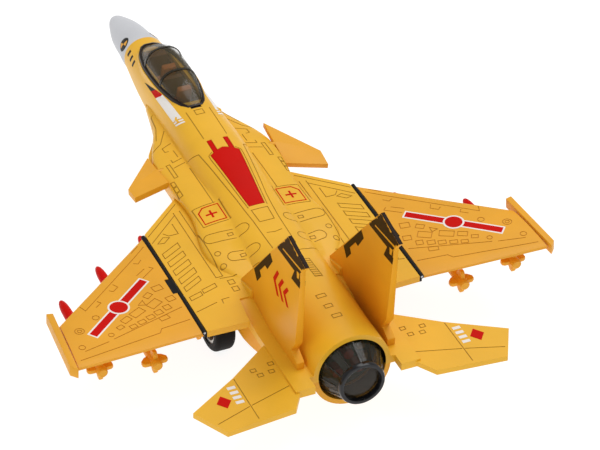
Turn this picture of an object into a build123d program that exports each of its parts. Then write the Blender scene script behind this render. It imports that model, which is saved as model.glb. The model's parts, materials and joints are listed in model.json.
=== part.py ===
from build123d import *
import os
from math import atan2, copysign, cos, degrees, pi, radians, sin

os.makedirs("parts", exist_ok=True)

# ------------------------------------------------------------------ driving sizes
# Millimetres. The nose points to -Y, the port wing to +X, and the wheels stand on Z = 0.
# "Station" is the distance aft of the nose tip; at() turns it into the model's own Y.

LENGTH = 197.4                      # nose tip to stabiliser tips
WALL = 1.6                          # casting and shell wall
GAP = 0.15                          # assembly gap round pieces that drop into an opening
RUN = 0.05                          # radial clearance of a running fit

WING_TOP = 21.5                     # upper face of the inner wings
WING_THICK = 2.0
DECK_TOP = 18.4                     # tail deck beside the nozzle
STAB_TOP = 17.8
STAB_THICK = 1.6
PARTING = 16.0                      # joint between the casting and the belly shell

FOLD_X = 32.55                      # middle of the fold hinge
FOLD_FRONT = 112.4                  # stations of the hinge's two ends
FOLD_REAR = 160.0
FOLD_AXIS_Z = WING_TOP - 0.45
BARREL_R = 0.65                     # the hinge barrel that shows as a black strip
FOLD_PIN_R = 0.35
LEAF_FRONT = 134.3                  # stations of the hinge leaf
LEAF_REAR = 141.0
DIHEDRAL = 3.0                      # rise of the outer wings, degrees

CANARD_STATION = 87.2               # pitch axis of the canards
CANARD_Z = 23.3
CANARD_PIN_R = 0.9
CANARD_ROOT_X = 18.35
CANARD_THICK = 1.7
PORT_PITCH = -8.4                   # leading edge down, degrees
STARBOARD_PITCH = 12.0              # leading edge up

FIN_X = 13.4
FIN_THICK = 2.2

BARREL_Z = 17.2                     # axis of the round tail and of the nozzle
NOZZLE_R = 9.8
NOZZLE_END_R = 6.6
NOZZLE_FRONT = 181.0
NOZZLE_REAR = 191.2

AXLE_STATION = 141.0                # rear axle
TYRE_R = 8.6
TYRE_WIDTH = 6.0
TYRE_OUTER_X = 25.0
HUB_R = 6.1
AXLE_R = 1.0

NOSE_AXLE_STATION = 60.0
NOSE_TYRE_R = 5.2
NOSE_TYRE_WIDTH = 2.8

CANOPY_FRONT = 31.6
CANOPY_REAR = 70.9
CANOPY_FRONT_Z = 29.7
CANOPY_REAR_Z = 31.0

GEAR_MODULE = 0.5


def at(station):
    """Model Y of a station."""
    return station - LENGTH / 2


def across(station):
    """Plane across the body at a station: its x is the model's X and its y is Z."""
    return Plane(origin=(0, at(station), 0), x_dir=(1, 0, 0), z_dir=(0, -1, 0))


def level(height):
    """Horizontal plane at a height."""
    return Plane.XY.offset(height)


def beside(x):
    """Plane square to X: its x is the model's Y and its y is Z."""
    return Plane(origin=(x, 0, 0), x_dir=(0, 1, 0), z_dir=(1, 0, 0))


def plan(points):
    """Plan points given as (x, station), turned into model coordinates."""
    return [(x, at(station)) for x, station in points]


def section(station, half_width, top, bottom, fullness=2.0, count=20):
    """Smooth closed cross-section of the body, a rounded box that is fuller at higher fullness."""
    middle = (top + bottom) / 2
    half_height = (top - bottom) / 2
    outline = []
    for i in range(count):
        turn = 2 * pi * i / count
        x = half_width * copysign(abs(cos(turn)) ** (2 / fullness), cos(turn))
        z = middle + half_height * copysign(abs(sin(turn)) ** (2 / fullness), sin(turn))
        outline.append((x, z))
    with BuildSketch(across(station)) as sketch:
        with BuildLine():
            Spline(*outline, periodic=True)
        make_face()
    return sketch.sketch


def prism(points, bottom, top):
    """Upright prism over a plan outline of (x, station) points."""
    with BuildPart() as solid:
        with BuildSketch(level(bottom)):
            Polygon(*plan(points), align=None)
        extrude(amount=top - bottom)
    return solid.part


def side_prism(points, x_low, x_high):
    """Prism along X over a side outline of (station, z) points."""
    with BuildPart() as solid:
        with BuildSketch(beside(x_low)):
            Polygon(*[(at(station), z) for station, z in points], align=None)
        extrude(amount=x_high - x_low)
    return solid.part


def rod_x(station, z, radius, x_low, x_high):
    """Round rod along X."""
    with BuildPart() as rod:
        with BuildSketch(beside(x_low)):
            with Locations((at(station), z)):
                Circle(radius)
        extrude(amount=x_high - x_low)
    return rod.part


def rod_y(x, z, radius, front, rear):
    """Round rod along Y between two stations."""
    with BuildPart() as rod:
        with BuildSketch(across(rear)):
            with Locations((x, z)):
                Circle(radius)
        extrude(amount=rear - front)
    return rod.part


def rod_z(x, station, radius, bottom, top):
    """Round upright rod."""
    with BuildPart() as rod:
        with BuildSketch(level(bottom)):
            with Locations((x, at(station))):
                Circle(radius)
        extrude(amount=top - bottom)
    return rod.part


def block(x_low, x_high, front, rear, bottom, top):
    """Plain box between two X values, two stations and two heights."""
    return prism([(x_low, front), (x_high, front), (x_high, rear), (x_low, rear)], bottom, top)


def both_sides(points):
    """A port half outline, from the centre line out and back, completed with its mirror image."""
    return points + [(-x, station) for x, station in reversed(points)]


def on_side(part, side):
    """The port piece itself, or its mirror image for starboard."""
    return part if side == "port" else part.mirror(Plane.YZ)


def save(part, name):
    """Label a finished piece and write it."""
    part.label = name
    export_step(part, "parts/" + name + ".step")


# ------------------------------------------------------------------ outer shape of the body
# Station, half width, top, bottom, fullness.

CORE = [(27.0, 6.4, 29.8, 17.1, 2.1), (38.0, 7.4, 30.9, 15.2, 2.3), (50.0, 8.1, 31.7, 13.6, 2.5),
        (62.0, 8.7, 31.9, 11.0, 2.6), (76.0, 9.8, 31.6, 7.8, 2.6), (92.0, 10.6, 30.7, 5.8, 2.6),
        (118.0, 11.2, 27.5, 5.0, 2.6), (140.0, 11.5, 27.0, 5.0, 2.4), (152.0, 11.6, 27.6, 5.3, 2.2),
        (162.0, 11.6, 28.2, 5.6, 2.1), (170.0, 11.5, 28.5, 5.8, 2.0), (178.0, 11.45, 28.6, 5.8, 2.0),
        (185.6, 11.4, 28.6, 5.8, 2.0)]

SHOULDER = [(52.0, 8.6, 23.2, 20.2, 3.0), (62.0, 10.6, 24.0, 19.9, 3.0), (70.0, 13.4, 24.5, 19.8, 3.0),
            (79.0, 17.2, 24.9, 19.6, 3.0), (98.0, 18.0, 25.3, 19.6, 3.0), (118.0, 18.4, 25.0, 19.6, 3.0),
            (136.0, 18.2, 23.2, 19.2, 3.0), (152.0, 16.6, 20.8, 17.6, 3.0)]

STRAKE = [(0.0, 50.0), (8.2, 50.0), (8.8, 53.0), (10.0, 59.0), (11.3, 64.8), (13.4, 69.8), (16.9, 75.6),
          (17.8, 77.8), (17.8, 99.0), (FOLD_X - BARREL_R - 0.05, 111.9), (FOLD_X - BARREL_R - 0.05, FOLD_REAR),
          (19.5, 160.4), (18.3, 150.0), (0.0, 150.0)]

TAIL_DECK = [(143.0, WING_TOP), (148.0, WING_TOP), (162.0, DECK_TOP), (189.8, DECK_TOP), (189.8, 15.8),
             (150.0, 15.8), (143.0, 17.5)]

STABILISER = [(16.0, 167.5), (18.6, 167.5), (31.3, 177.1), (46.5, 186.6), (40.9, 197.4), (20.6, 195.5),
              (17.3, 190.2), (16.0, 188.0)]

CAVITY_REAR = 172.0                 # aft of here the hollow is a plain round bore

with BuildPart() as core:
    loft([section(*row) for row in CORE])

with BuildPart() as shoulder:
    loft([section(*row) for row in SHOULDER])

with BuildPart() as cavity:
    loft([section(station, width - WALL, top - WALL, bottom + WALL, fullness)
          for station, width, top, bottom, fullness in CORE[2:]])
    add(block(-30, 30, CAVITY_REAR, 200.0, 0.0, 40.0), mode=Mode.SUBTRACT)
    add(rod_y(0, BARREL_Z, NOZZLE_R - 0.4, CAVITY_REAR - 1.0, NOZZLE_FRONT + 2.0))
    add(block(-12.0, 12.0, 88.0, 131.0, 18.9, 22.9))

with BuildPart() as outer_shape:
    add(core.part)
    add(shoulder.part)
    add(prism(both_sides(STRAKE), WING_TOP - WING_THICK, WING_TOP))
    add(side_prism(TAIL_DECK, -18.3, 18.3))
    for side in ("port", "starboard"):
        add(on_side(prism(STABILISER, STAB_TOP - STAB_THICK, STAB_TOP), side))
        add(on_side(block(CANARD_ROOT_X - 0.4, 25.0, 76.0, 99.0, 18.0, 30.0), side), mode=Mode.SUBTRACT)
    add(block(-12.6, 12.6, 185.6, 200.0, 0.0, 40.0), mode=Mode.SUBTRACT)

# ------------------------------------------------------------------ canopy outline
# Half widths of the canopy on its sill, and its height above the sill.

CANOPY = [(32.2, 2.2, 0.8), (36.5, 4.3, 3.1), (43.0, 5.7, 6.0), (50.0, 6.0, 6.1), (57.0, 5.7, 5.2),
          (63.0, 4.8, 3.9), (68.0, 3.5, 2.0), (70.2, 1.9, 0.7)]


def sill(station):
    """Height of the canopy's sill, which climbs a little towards the rear."""
    return CANOPY_FRONT_Z + (CANOPY_REAR_Z - CANOPY_FRONT_Z) * (station - CANOPY_FRONT) / (
        CANOPY_REAR - CANOPY_FRONT)


def canopy_section(station, half_width, height, base):
    """Arched cross-section of the canopy, closed by its flat base."""
    with BuildSketch(across(station)) as sketch:
        with BuildLine():
            arch = Spline((half_width, base), (half_width * 0.86, base + height * 0.58), (0, base + height),
                          (-half_width * 0.86, base + height * 0.58), (-half_width, base),
                          tangents=[(-0.1, 1), (-0.1, -1)])
            Line(arch @ 1, arch @ 0)
        make_face()
    return sketch.sketch


def canopy_outline(margin):
    """Plan of the canopy with a margin round it, as a face on the ground plane."""
    port = [(width + margin, at(station)) for station, width, height in CANOPY]
    starboard = [(-x, y) for x, y in reversed(port)]
    front = [(0, at(CANOPY_FRONT) - margin)]
    rear = [(0, at(CANOPY_REAR) + margin)]
    with BuildSketch(level(24.0)) as sketch:
        with BuildLine():
            Spline(*(front + port + rear + starboard), periodic=True)
        make_face()
    return sketch.sketch


with BuildPart() as above_sill:
    add(side_prism([(28.0, sill(28.0)), (74.0, sill(74.0)), (74.0, 45.0), (28.0, 45.0)], -12, 12))

with BuildPart() as coaming:
    extrude(canopy_outline(1.0), amount=12)
    add(above_sill.part, mode=Mode.SUBTRACT)

with BuildPart() as canopy_seat:
    extrude(canopy_outline(0.25), amount=20)
    add(above_sill.part, mode=Mode.INTERSECT)

# ------------------------------------------------------------------ dorsal button outline

BUTTON = [(0.0, 92.2), (1.9, 92.9), (1.9, 88.0), (3.2, 88.0), (3.2, 93.6), (4.4, 94.1), (2.3, 118.3),
          (0.0, 118.3)]
BUTTON_STATION = 104.0
SWITCH_BOARD_Z = 19.6
STEM_R = 1.8

with BuildPart() as button_hole:
    with BuildSketch(level(20.0)):
        Polygon(*plan(both_sides(BUTTON)), align=None)
        offset(amount=GAP, kind=Kind.INTERSECTION)
    extrude(amount=15.0)

# ------------------------------------------------------------------ upper body casting

BODY_SCREWS = [(5.5, 73.0), (-5.5, 73.0), (8.6, 166.0), (-8.6, 166.0)]
BOARD_SCREWS = [(6.8, 98.0), (-6.8, 110.0)]
SCREW_HEAD_Z = 10.2
TUB = (-4.4, 4.4, 34.5, 67.0, 22.4, 33.0)

with BuildPart() as upper_body:
    add(outer_shape.part)
    add(coaming.part)
    add(block(-30, 30, 52.0, 200.0, 0.0, PARTING), mode=Mode.SUBTRACT)
    add(cavity.part, mode=Mode.SUBTRACT)
    add(canopy_seat.part, mode=Mode.SUBTRACT)
    add(block(*TUB), mode=Mode.SUBTRACT)
    add(button_hole.part, mode=Mode.SUBTRACT)
    add(rod_y(0, BARREL_Z, NOZZLE_R + GAP, NOZZLE_FRONT - 1, 187.0), mode=Mode.SUBTRACT)
    for x, station in BOARD_SCREWS:
        add(rod_z(x, station, 1.6, SWITCH_BOARD_Z + 1.0, 25.0))
        add(rod_z(x, station, 0.65, SWITCH_BOARD_Z, 23.5), mode=Mode.SUBTRACT)
    for x, station in BODY_SCREWS:
        add(rod_z(x, station, 1.8, PARTING, 30.0 if station < 100 else 20.0))
        add(rod_z(x, station, 0.75, PARTING - 1, 19.6), mode=Mode.SUBTRACT)
    for low, high in ((12, 20), (-20, -12)):
        add(rod_x(CANARD_STATION, CANARD_Z, CANARD_PIN_R + RUN, low, high), mode=Mode.SUBTRACT)
    for low, high in ((12.75, 14.05), (-14.05, -12.75)):
        add(block(low, high, 164.95, 172.05, 15.0, DECK_TOP + 1), mode=Mode.SUBTRACT)
    add(rod_y(0, 23.0, 2.6, 24.0, 34.0), mode=Mode.SUBTRACT)
    add(rod_x(71.0, CANOPY_REAR_Z, 1.1, -1.7, 1.7), mode=Mode.SUBTRACT)
    add(rod_x(71.0, CANOPY_REAR_Z, 0.4, -3.0, 3.0), mode=Mode.SUBTRACT)
save(upper_body.part, "upper_body")

# ------------------------------------------------------------------ belly shell

BAY = (-6.3, 6.3, 82.9, 118.7)      # battery bay, inside
BAY_TOP = 13.0
COVER_Z = (5.2, 6.4)
MOTOR = (-8.0, 8.0, 134.0, 163.5)   # motor case, outside
MOTOR_Z = (4.4, 19.2)
NACELLE = [(7.0, 84.0), (18.2, 84.0), (18.2, 150.0), (11.0, 177.0), (7.0, 177.0)]

with BuildPart() as nacelle:
    add(prism(NACELLE, 7.6, PARTING))
    fillet(nacelle.edges().filter_by(Axis.Y).group_by(Axis.Z)[0], 2.0)
    add(block(10.0, 17.2, 80.0, 102.0, 9.0, 15.0), mode=Mode.SUBTRACT)

with BuildPart() as belly_shell:
    add(core.part)
    for side in ("port", "starboard"):
        add(on_side(nacelle.part, side))
    add(block(-30, 30, 20.0, 52.05, 0.0, 40.0), mode=Mode.SUBTRACT)
    add(block(-30, 30, 40.0, 200.0, PARTING - 0.03, 40.0), mode=Mode.SUBTRACT)
    add(block(-8.6, 8.6, 75.0, 121.2, COVER_Z[0], 9.0))
    add(cavity.part, mode=Mode.SUBTRACT)
    add(block(-7.3, 7.3, 81.9, 119.7, 6.5, BAY_TOP + 1.2))
    add(rod_z(0, 79.0, 2.2, 6.5, 13.0))
    add(block(*BAY, 5.0, BAY_TOP), mode=Mode.SUBTRACT)
    add(block(-7.3, 7.3, 76.3, 119.9, 4.0, COVER_Z[1] + 0.1), mode=Mode.SUBTRACT)
    add(rod_z(0, 79.0, 0.75, 5.0, 12.0), mode=Mode.SUBTRACT)
    add(block(MOTOR[0] - GAP, MOTOR[1] + GAP, MOTOR[2] - GAP, MOTOR[3] + GAP, 0.0, PARTING), mode=Mode.SUBTRACT)
    for x, station in BODY_SCREWS:
        add(rod_z(x, station, 1.8, SCREW_HEAD_Z, PARTING - 0.03))
        add(rod_z(x, station, 1.75, 5.0, SCREW_HEAD_Z + 1.2), mode=Mode.SUBTRACT)
        add(rod_z(x, station, 0.9, 5.0, PARTING), mode=Mode.SUBTRACT)
    add(rod_x(AXLE_STATION, TYRE_R, AXLE_R + 0.6, -20, 20), mode=Mode.SUBTRACT)
    add(rod_y(0, BARREL_Z, NOZZLE_R + GAP, NOZZLE_FRONT - 1, 187.0), mode=Mode.SUBTRACT)
    add(block(-1.45, 1.45, 58.05, 61.95, 5.0, 15.0), mode=Mode.SUBTRACT)
save(belly_shell.part, "belly_shell")

# ------------------------------------------------------------------ radome

RADOME = [(0.0, 0.7), (1.2, 1.8), (4.0, 3.0), (9.0, 4.4), (16.0, 5.55), (22.0, 6.1), (26.95, 6.38)]
NOSE_TIP_Z = 20.9
NOSE_BASE_Z = 23.45

with BuildPart() as radome:
    loft([section(station, radius, NOSE_TIP_Z + (NOSE_BASE_Z - NOSE_TIP_Z) * (station / 27.0) + radius * 0.99,
                  NOSE_TIP_Z + (NOSE_BASE_Z - NOSE_TIP_Z) * (station / 27.0) - radius * 0.99)
          for station, radius in RADOME])
    add(rod_y(0, 23.0, 2.5, 26.0, 33.0))
save(radome.part, "radome")

# ------------------------------------------------------------------ canopy, cockpit and hinge

with BuildPart() as canopy_inside:
    loft([canopy_section(station, width - 0.8, height - 0.4, sill(station) - 0.4)
          for station, width, height in CANOPY[1:-1]])

with BuildPart() as canopy:
    loft([canopy_section(station, width, height, sill(station) + 0.05) for station, width, height in CANOPY])
    add(canopy_inside.part, mode=Mode.SUBTRACT)
    add(rod_x(71.0, CANOPY_REAR_Z, 0.9, -1.5, 1.5))
    add(block(-1.5, 1.5, 69.4, 71.0, CANOPY_REAR_Z + 0.1, CANOPY_REAR_Z + 0.6))
    add(rod_x(71.0, CANOPY_REAR_Z, 0.43, -3.0, 3.0), mode=Mode.SUBTRACT)
save(canopy.part, "canopy")

save(rod_x(71.0, CANOPY_REAR_Z, 0.38, -2.9, 2.9), "canopy_hinge_pin")

with BuildPart() as cockpit_tub:
    add(block(-4.3, 4.3, 34.7, 66.8, 22.6, 28.6))
    add(block(-3.5, 3.5, 35.5, 66.0, 23.6, 30.0), mode=Mode.SUBTRACT)
    add(side_prism([(36.0, 23.6), (41.0, 23.6), (39.6, 30.6), (36.8, 30.6)], -3.2, 3.2))
    add(side_prism([(50.5, 23.6), (53.5, 23.6), (52.6, 30.4), (50.9, 30.4)], -3.0, 3.0))
save(cockpit_tub.part, "cockpit_tub")

SEAT_STATIONS = (48.6, 61.5)
SEAT_PROFILE = [(-6.0, 23.6), (-0.2, 23.6), (1.6, 32.6), (-0.2, 33.2), (-1.6, 29.2), (-2.2, 26.2), (-6.0, 25.6)]

with BuildPart() as seats:
    for station in SEAT_STATIONS:
        add(side_prism([(station + step, z) for step, z in SEAT_PROFILE], -2.1, 2.1))
save(seats.part, "seats")

# ------------------------------------------------------------------ dorsal button, its spring and switch

FLANGE = [(0.0, 95.2), (4.8, 95.2), (3.3, 117.2), (0.0, 117.2)]
FLANGE_TOP = 2.0                    # depths below the skin
BUTTON_UNDERSIDE = 2.75


def below_skin(depth):
    """The core of the body lowered by a depth."""
    return core.part.moved(Location((0, 0, -depth)))


with BuildPart() as button_flange:
    add(below_skin(FLANGE_TOP))
    add(prism(both_sides(FLANGE), 20.0, 35.0), mode=Mode.INTERSECT)
    add(below_skin(BUTTON_UNDERSIDE), mode=Mode.SUBTRACT)

with BuildPart() as dorsal_button:
    add(core.part)
    add(prism(both_sides(BUTTON), 20.0, 35.0), mode=Mode.INTERSECT)
    add(below_skin(BUTTON_UNDERSIDE), mode=Mode.SUBTRACT)
    add(button_flange.part)
    add(rod_z(0, BUTTON_STATION, 3.2, 25.6, 27.4))
    add(rod_z(0, BUTTON_STATION, 5.3, 25.2, 26.0))
save(dorsal_button.part, "dorsal_button")

SPRING_LOW = SWITCH_BOARD_Z + 1.0
SPRING_HIGH = 25.15
SPRING_WIRE_R = 0.3
SPRING_R = 4.8

with BuildPart() as button_spring:
    with BuildLine() as coil:
        Helix(pitch=(SPRING_HIGH - SPRING_LOW - 2 * SPRING_WIRE_R) / 3, height=SPRING_HIGH - SPRING_LOW
              - 2 * SPRING_WIRE_R, radius=SPRING_R, center=(0, at(BUTTON_STATION), SPRING_LOW + SPRING_WIRE_R))
    with BuildSketch(Plane(origin=coil.line @ 0, z_dir=coil.line % 0)):
        Circle(SPRING_WIRE_R)
    sweep()
save(button_spring.part, "button_spring")

with BuildPart() as switch_board:
    add(block(-8.6, 8.6, 95.5, 112.5, SWITCH_BOARD_Z, SWITCH_BOARD_Z + 1.0))
    for x, station in BOARD_SCREWS:
        add(rod_z(x, station, 0.8, 15.0, 25.0), mode=Mode.SUBTRACT)
save(switch_board.part, "switch_board")

with BuildPart() as tact_switch:
    add(block(-3, 3, BUTTON_STATION - 3, BUTTON_STATION + 3, SPRING_LOW, 23.6))
    add(rod_z(0, BUTTON_STATION, 1.7, 23.6, 24.1))
save(tact_switch.part, "tact_switch")

with BuildPart() as board_screws:
    for x, station in BOARD_SCREWS:
        add(rod_z(x, station, 1.3, SWITCH_BOARD_Z - 0.8, SWITCH_BOARD_Z))
        add(rod_z(x, station, 0.62, SWITCH_BOARD_Z - 0.4, 23.4))
save(board_screws.part, "board_screws")

# ------------------------------------------------------------------ outer wings and their fold hinges

WING_EDGE_X = FOLD_X + BARREL_R + 0.05
WING_OUTLINE = [(WING_EDGE_X, 112.9), (68.6, 143.9), (69.9, 163.2), (WING_EDGE_X, 159.8)]
FOLD_LINE = Axis((WING_EDGE_X, 0, WING_TOP), (0, 1, 0))
RAIL = [(68.8, 139.2), (70.7, 138.8), (72.3, 162.8), (70.5, 164.8)]

RAIL_Z = (18.9, 22.2)


def raised(part):
    """A port piece given the dihedral of the outer wing."""
    return part.rotate(FOLD_LINE, -DIHEDRAL)


def outer_wing(side):
    """Folding wing with the pocket for its hinge leaf."""
    with BuildPart() as wing:
        add(raised(prism(WING_OUTLINE, WING_TOP - WING_THICK, WING_TOP)))
        add(block(WING_EDGE_X - 1, 34.5, LEAF_FRONT - 0.1, LEAF_REAR + 0.1, 20.3, 23.0), mode=Mode.SUBTRACT)
        add(raised(prism(RAIL, RAIL_Z[0] - 0.5, RAIL_Z[1] + 0.5)), mode=Mode.SUBTRACT)
    return on_side(wing.part, side)


def fold_hinge(side):
    """Two barrels and the web that joins them, fixed along the inner wing's edge."""
    with BuildPart() as hinge:
        add(block(FOLD_X - BARREL_R, FOLD_X, FOLD_FRONT, FOLD_REAR, 19.5, 20.25))
        for front, rear in ((FOLD_FRONT, LEAF_FRONT - 0.1), (LEAF_REAR + 0.1, FOLD_REAR)):
            add(rod_y(FOLD_X, FOLD_AXIS_Z, BARREL_R, front, rear))
            add(block(FOLD_X - BARREL_R, FOLD_X, front, rear, 20.0, FOLD_AXIS_Z))
        add(rod_y(FOLD_X, FOLD_AXIS_Z, FOLD_PIN_R, FOLD_FRONT - 1, FOLD_REAR + 1), mode=Mode.SUBTRACT)
    return on_side(hinge.part, side)


def fold_leaf(side):
    """Knuckle between the barrels with the tab let into the outer wing."""
    with BuildPart() as leaf:
        add(rod_y(FOLD_X, FOLD_AXIS_Z, BARREL_R, LEAF_FRONT, LEAF_REAR))
        add(block(FOLD_X + 0.1, 34.4, LEAF_FRONT, LEAF_REAR, 20.5, WING_TOP + 0.1))
        add(rod_y(FOLD_X, FOLD_AXIS_Z, FOLD_PIN_R + RUN, LEAF_FRONT - 1, LEAF_REAR + 1), mode=Mode.SUBTRACT)
    return on_side(leaf.part, side)


def tip_rail(side):
    """Upright plate along the wing tip."""
    return on_side(raised(prism(RAIL, *RAIL_Z)), side)


for side in ("port", "starboard"):
    save(outer_wing(side), side + "_outer_wing")
    save(fold_hinge(side), side + "_fold_hinge")
    save(fold_leaf(side), side + "_fold_leaf")
    save(on_side(rod_y(FOLD_X, FOLD_AXIS_Z, FOLD_PIN_R, FOLD_FRONT, FOLD_REAR), side), side + "_fold_pin")
    save(tip_rail(side), side + "_tip_rail")

# ------------------------------------------------------------------ canards

CANARD_OUTLINE = [(CANARD_ROOT_X, 78.6), (30.15, 94.5), (30.15, 100.3), (CANARD_ROOT_X, 96.0)]
CANARD_AXIS = Axis((0, at(CANARD_STATION), CANARD_Z), (1, 0, 0))


def canard(side, pitch):
    """Canard with its pivot stub, turned to its pitch (leading edge up is positive)."""
    with BuildPart() as blade:
        add(prism(CANARD_OUTLINE, CANARD_Z - CANARD_THICK / 2, CANARD_Z + CANARD_THICK / 2))
        add(rod_x(CANARD_STATION, CANARD_Z, CANARD_PIN_R, 12.5, CANARD_ROOT_X + 1))
    return on_side(blade.part, side).rotate(CANARD_AXIS, -pitch)


save(canard("port", PORT_PITCH), "port_canard")
save(canard("starboard", STARBOARD_PITCH), "starboard_canard")

# ------------------------------------------------------------------ fins

FIN_OUTLINE = [(140.8, 20.5), (174.0, 58.0), (185.8, 55.5), (183.2, 52.6), (180.2, 26.5), (177.6, 22.6),
               (181.4, 20.6), (181.4, 18.0), (162.0, 18.0), (148.0, 20.5)]


def fin(side):
    """Upright fin, trimmed to the deck it stands on, with the tab that plugs into it."""
    with BuildPart() as blade:
        add(side_prism(FIN_OUTLINE, FIN_X - FIN_THICK / 2, FIN_X + FIN_THICK / 2))
        add(outer_shape.part, mode=Mode.SUBTRACT)
        add(block(12.8, 14.0, 165.0, 172.0, 16.2, DECK_TOP + 0.5))
    return on_side(blade.part, side)


for side in ("port", "starboard"):
    save(fin(side), side + "_fin")

# ------------------------------------------------------------------ missiles
# Name, x, nose station, axis height, tail station.

MISSILES = [("inner", 30.2, 102.5, 14.0, 151.5), ("middle", 46.3, 111.0, 13.6, 160.0),
            ("outer", 62.2, 125.6, 16.6, 160.4)]
MISSILE_R = 1.45
MISSILE_SPAN = 7.4
MISSILE_FIN = 1.3


def wing_underside(x):
    """Height of the wing's lower face at a distance from the centre."""
    rise = max(0.0, x - WING_EDGE_X) * sin(radians(DIHEDRAL))
    return WING_TOP - WING_THICK + rise


def missile(side, x, nose, z, tail):
    """Missile with its pylon, round nose and four tail fins."""
    with BuildPart() as body:
        add(rod_y(x, z, MISSILE_R, nose + 6.0, tail))
        with BuildSketch(Plane(origin=(x, 0, z), x_dir=(0, 1, 0), z_dir=(1, 0, 0))):
            with BuildLine():
                Spline((at(nose), 0), (at(nose + 2.2), MISSILE_R * 0.72), (at(nose + 6.0), MISSILE_R),
                       tangents=[(0, 1), (1, 0)])
                Line((at(nose + 6.0), MISSILE_R), (at(nose + 6.0), 0))
                Line((at(nose + 6.0), 0), (at(nose), 0))
            make_face()
        revolve(axis=Axis((x, 0, z), (0, 1, 0)))
        for width, height in ((MISSILE_SPAN, MISSILE_FIN), (MISSILE_FIN, MISSILE_SPAN)):
            add(block(x - width / 2, x + width / 2, tail - 5.0, tail - 1.2, z - height / 2, z + height / 2))
        add(side_prism([(nose + 13.0, z), (nose + 33.0, z), (nose + 31.0, wing_underside(x - 0.8)),
                        (nose + 15.0, wing_underside(x - 0.8))], x - 0.8, x + 0.8))
    return on_side(body.part, side)


for side in ("port", "starboard"):
    for place, x, nose, z, tail in MISSILES:
        save(missile(side, x, nose, z, tail), side + "_" + place + "_missile")

# ------------------------------------------------------------------ nozzle and its electronics

NOZZLE_AXIS = Axis((0, 0, BARREL_Z), (0, 1, 0))


def turned(profile):
    """Ring turned round the nozzle axis from a profile of (station, radius) points."""
    with BuildPart() as ring:
        with BuildSketch(beside(0)):
            Polygon(*[(at(station), BARREL_Z + radius) for station, radius in profile], align=None)
        revolve(axis=NOZZLE_AXIS)
    return ring.part


save(turned([(NOZZLE_FRONT, NOZZLE_R), (184.6, NOZZLE_R), (NOZZLE_REAR, NOZZLE_END_R), (NOZZLE_REAR, 5.7),
             (184.4, 8.8), (NOZZLE_FRONT, 8.8)]), "nozzle")
save(turned([(NOZZLE_REAR, NOZZLE_END_R + 0.1), (NOZZLE_REAR + 1.0, NOZZLE_END_R + 0.1),
             (NOZZLE_REAR + 1.4, NOZZLE_END_R - 0.3), (NOZZLE_REAR + 1.4, 4.9), (NOZZLE_REAR - 0.4, 4.8),
             (NOZZLE_REAR - 0.4, 5.55), (NOZZLE_REAR, 5.65)]), "nozzle_end_ring")

PCB_FRONT = 178.6
PCB_REAR = 179.8
LAMPS = [(0.0, 3.4), (-3.2, -2.0), (3.2, -2.0)]
CHIPS = [(-4.6, 3.2, 2.0, 1.4), (4.8, 3.6, 1.6, 2.4), (0.0, -5.6, 3.6, 1.8), (-6.0, -0.6, 1.2, 2.2),
         (6.2, -0.4, 1.4, 2.0), (-1.6, 6.6, 2.2, 1.2)]

save(rod_y(0, BARREL_Z, 9.3, PCB_FRONT, PCB_REAR), "circuit_board")

with BuildPart() as lamps:
    for x, z in LAMPS:
        add(rod_y(x, BARREL_Z + z, 1.5, PCB_REAR, PCB_REAR + 3.4))
save(lamps.part, "lamps")

with BuildPart() as board_components:
    for x, z, width, height in CHIPS:
        add(block(x - width / 2, x + width / 2, PCB_REAR, PCB_REAR + 1.2, BARREL_Z + z - height / 2,
                  BARREL_Z + z + height / 2))
save(board_components.part, "board_components")

save(rod_z(0, 103.0, 8.6, BAY_TOP + 1.2, 18.0), "speaker")

# ------------------------------------------------------------------ batteries

CELL_STATIONS = (89.0, 100.8, 112.6)
CELL_R = 5.75

with BuildPart() as button_cells:
    for station in CELL_STATIONS:
        add(rod_z(0, station, CELL_R, 7.4, 12.6))
save(button_cells.part, "button_cells")

with BuildPart() as battery_contacts:
    add(block(-2, 2, 84.0, 88.0, 12.65, BAY_TOP))
    add(block(-2, 2, 98.0, 115.5, 12.65, BAY_TOP))
    add(block(-2, 2, 86.0, 103.0, COVER_Z[1] + 0.6, 7.35))
save(battery_contacts.part, "battery_contacts")

with BuildPart() as battery_cover:
    add(block(-7.2, 7.2, 76.4, 119.8, *COVER_Z))
    add(block(-5.0, 5.0, 84.0, 117.0, COVER_Z[1], COVER_Z[1] + 0.6))
    add(rod_z(0, 79.0, 0.9, 5.0, 7.0), mode=Mode.SUBTRACT)
    add(rod_z(0, 79.0, 1.6, 5.0, COVER_Z[0] + 0.6), mode=Mode.SUBTRACT)
save(battery_cover.part, "battery_cover")

with BuildPart() as battery_cover_screw:
    add(rod_z(0, 79.0, 1.5, COVER_Z[0], COVER_Z[0] + 0.6))
    add(rod_z(0, 79.0, 0.72, COVER_Z[0] + 0.3, 11.0))
save(battery_cover_screw.part, "battery_cover_screw")

with BuildPart() as body_screws:
    for x, station in BODY_SCREWS:
        add(rod_z(x, station, 1.6, SCREW_HEAD_Z, SCREW_HEAD_Z + 1.2))
        add(rod_z(x, station, 0.72, SCREW_HEAD_Z + 0.6, 19.4))
save(body_screws.part, "body_screws")

# ------------------------------------------------------------------ pull-back motor
# Teeth, station and height of each gear's axis.

AXLE_TEETH = 12
IDLER_TEETH = 20
PINION_TEETH = 8
SPRING_TEETH = 22
IDLER_AXIS = (AXLE_STATION + 7.75, TYRE_R + 2.0)
SPRING_AXIS = (IDLER_AXIS[0] + 7.3, IDLER_AXIS[1] + 1.72)


def mesh_angle(first, second):
    """Direction of the line from one gear's axis to another's, in degrees."""
    return degrees(atan2(second[1] - first[1], second[0] - first[0]))


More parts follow.
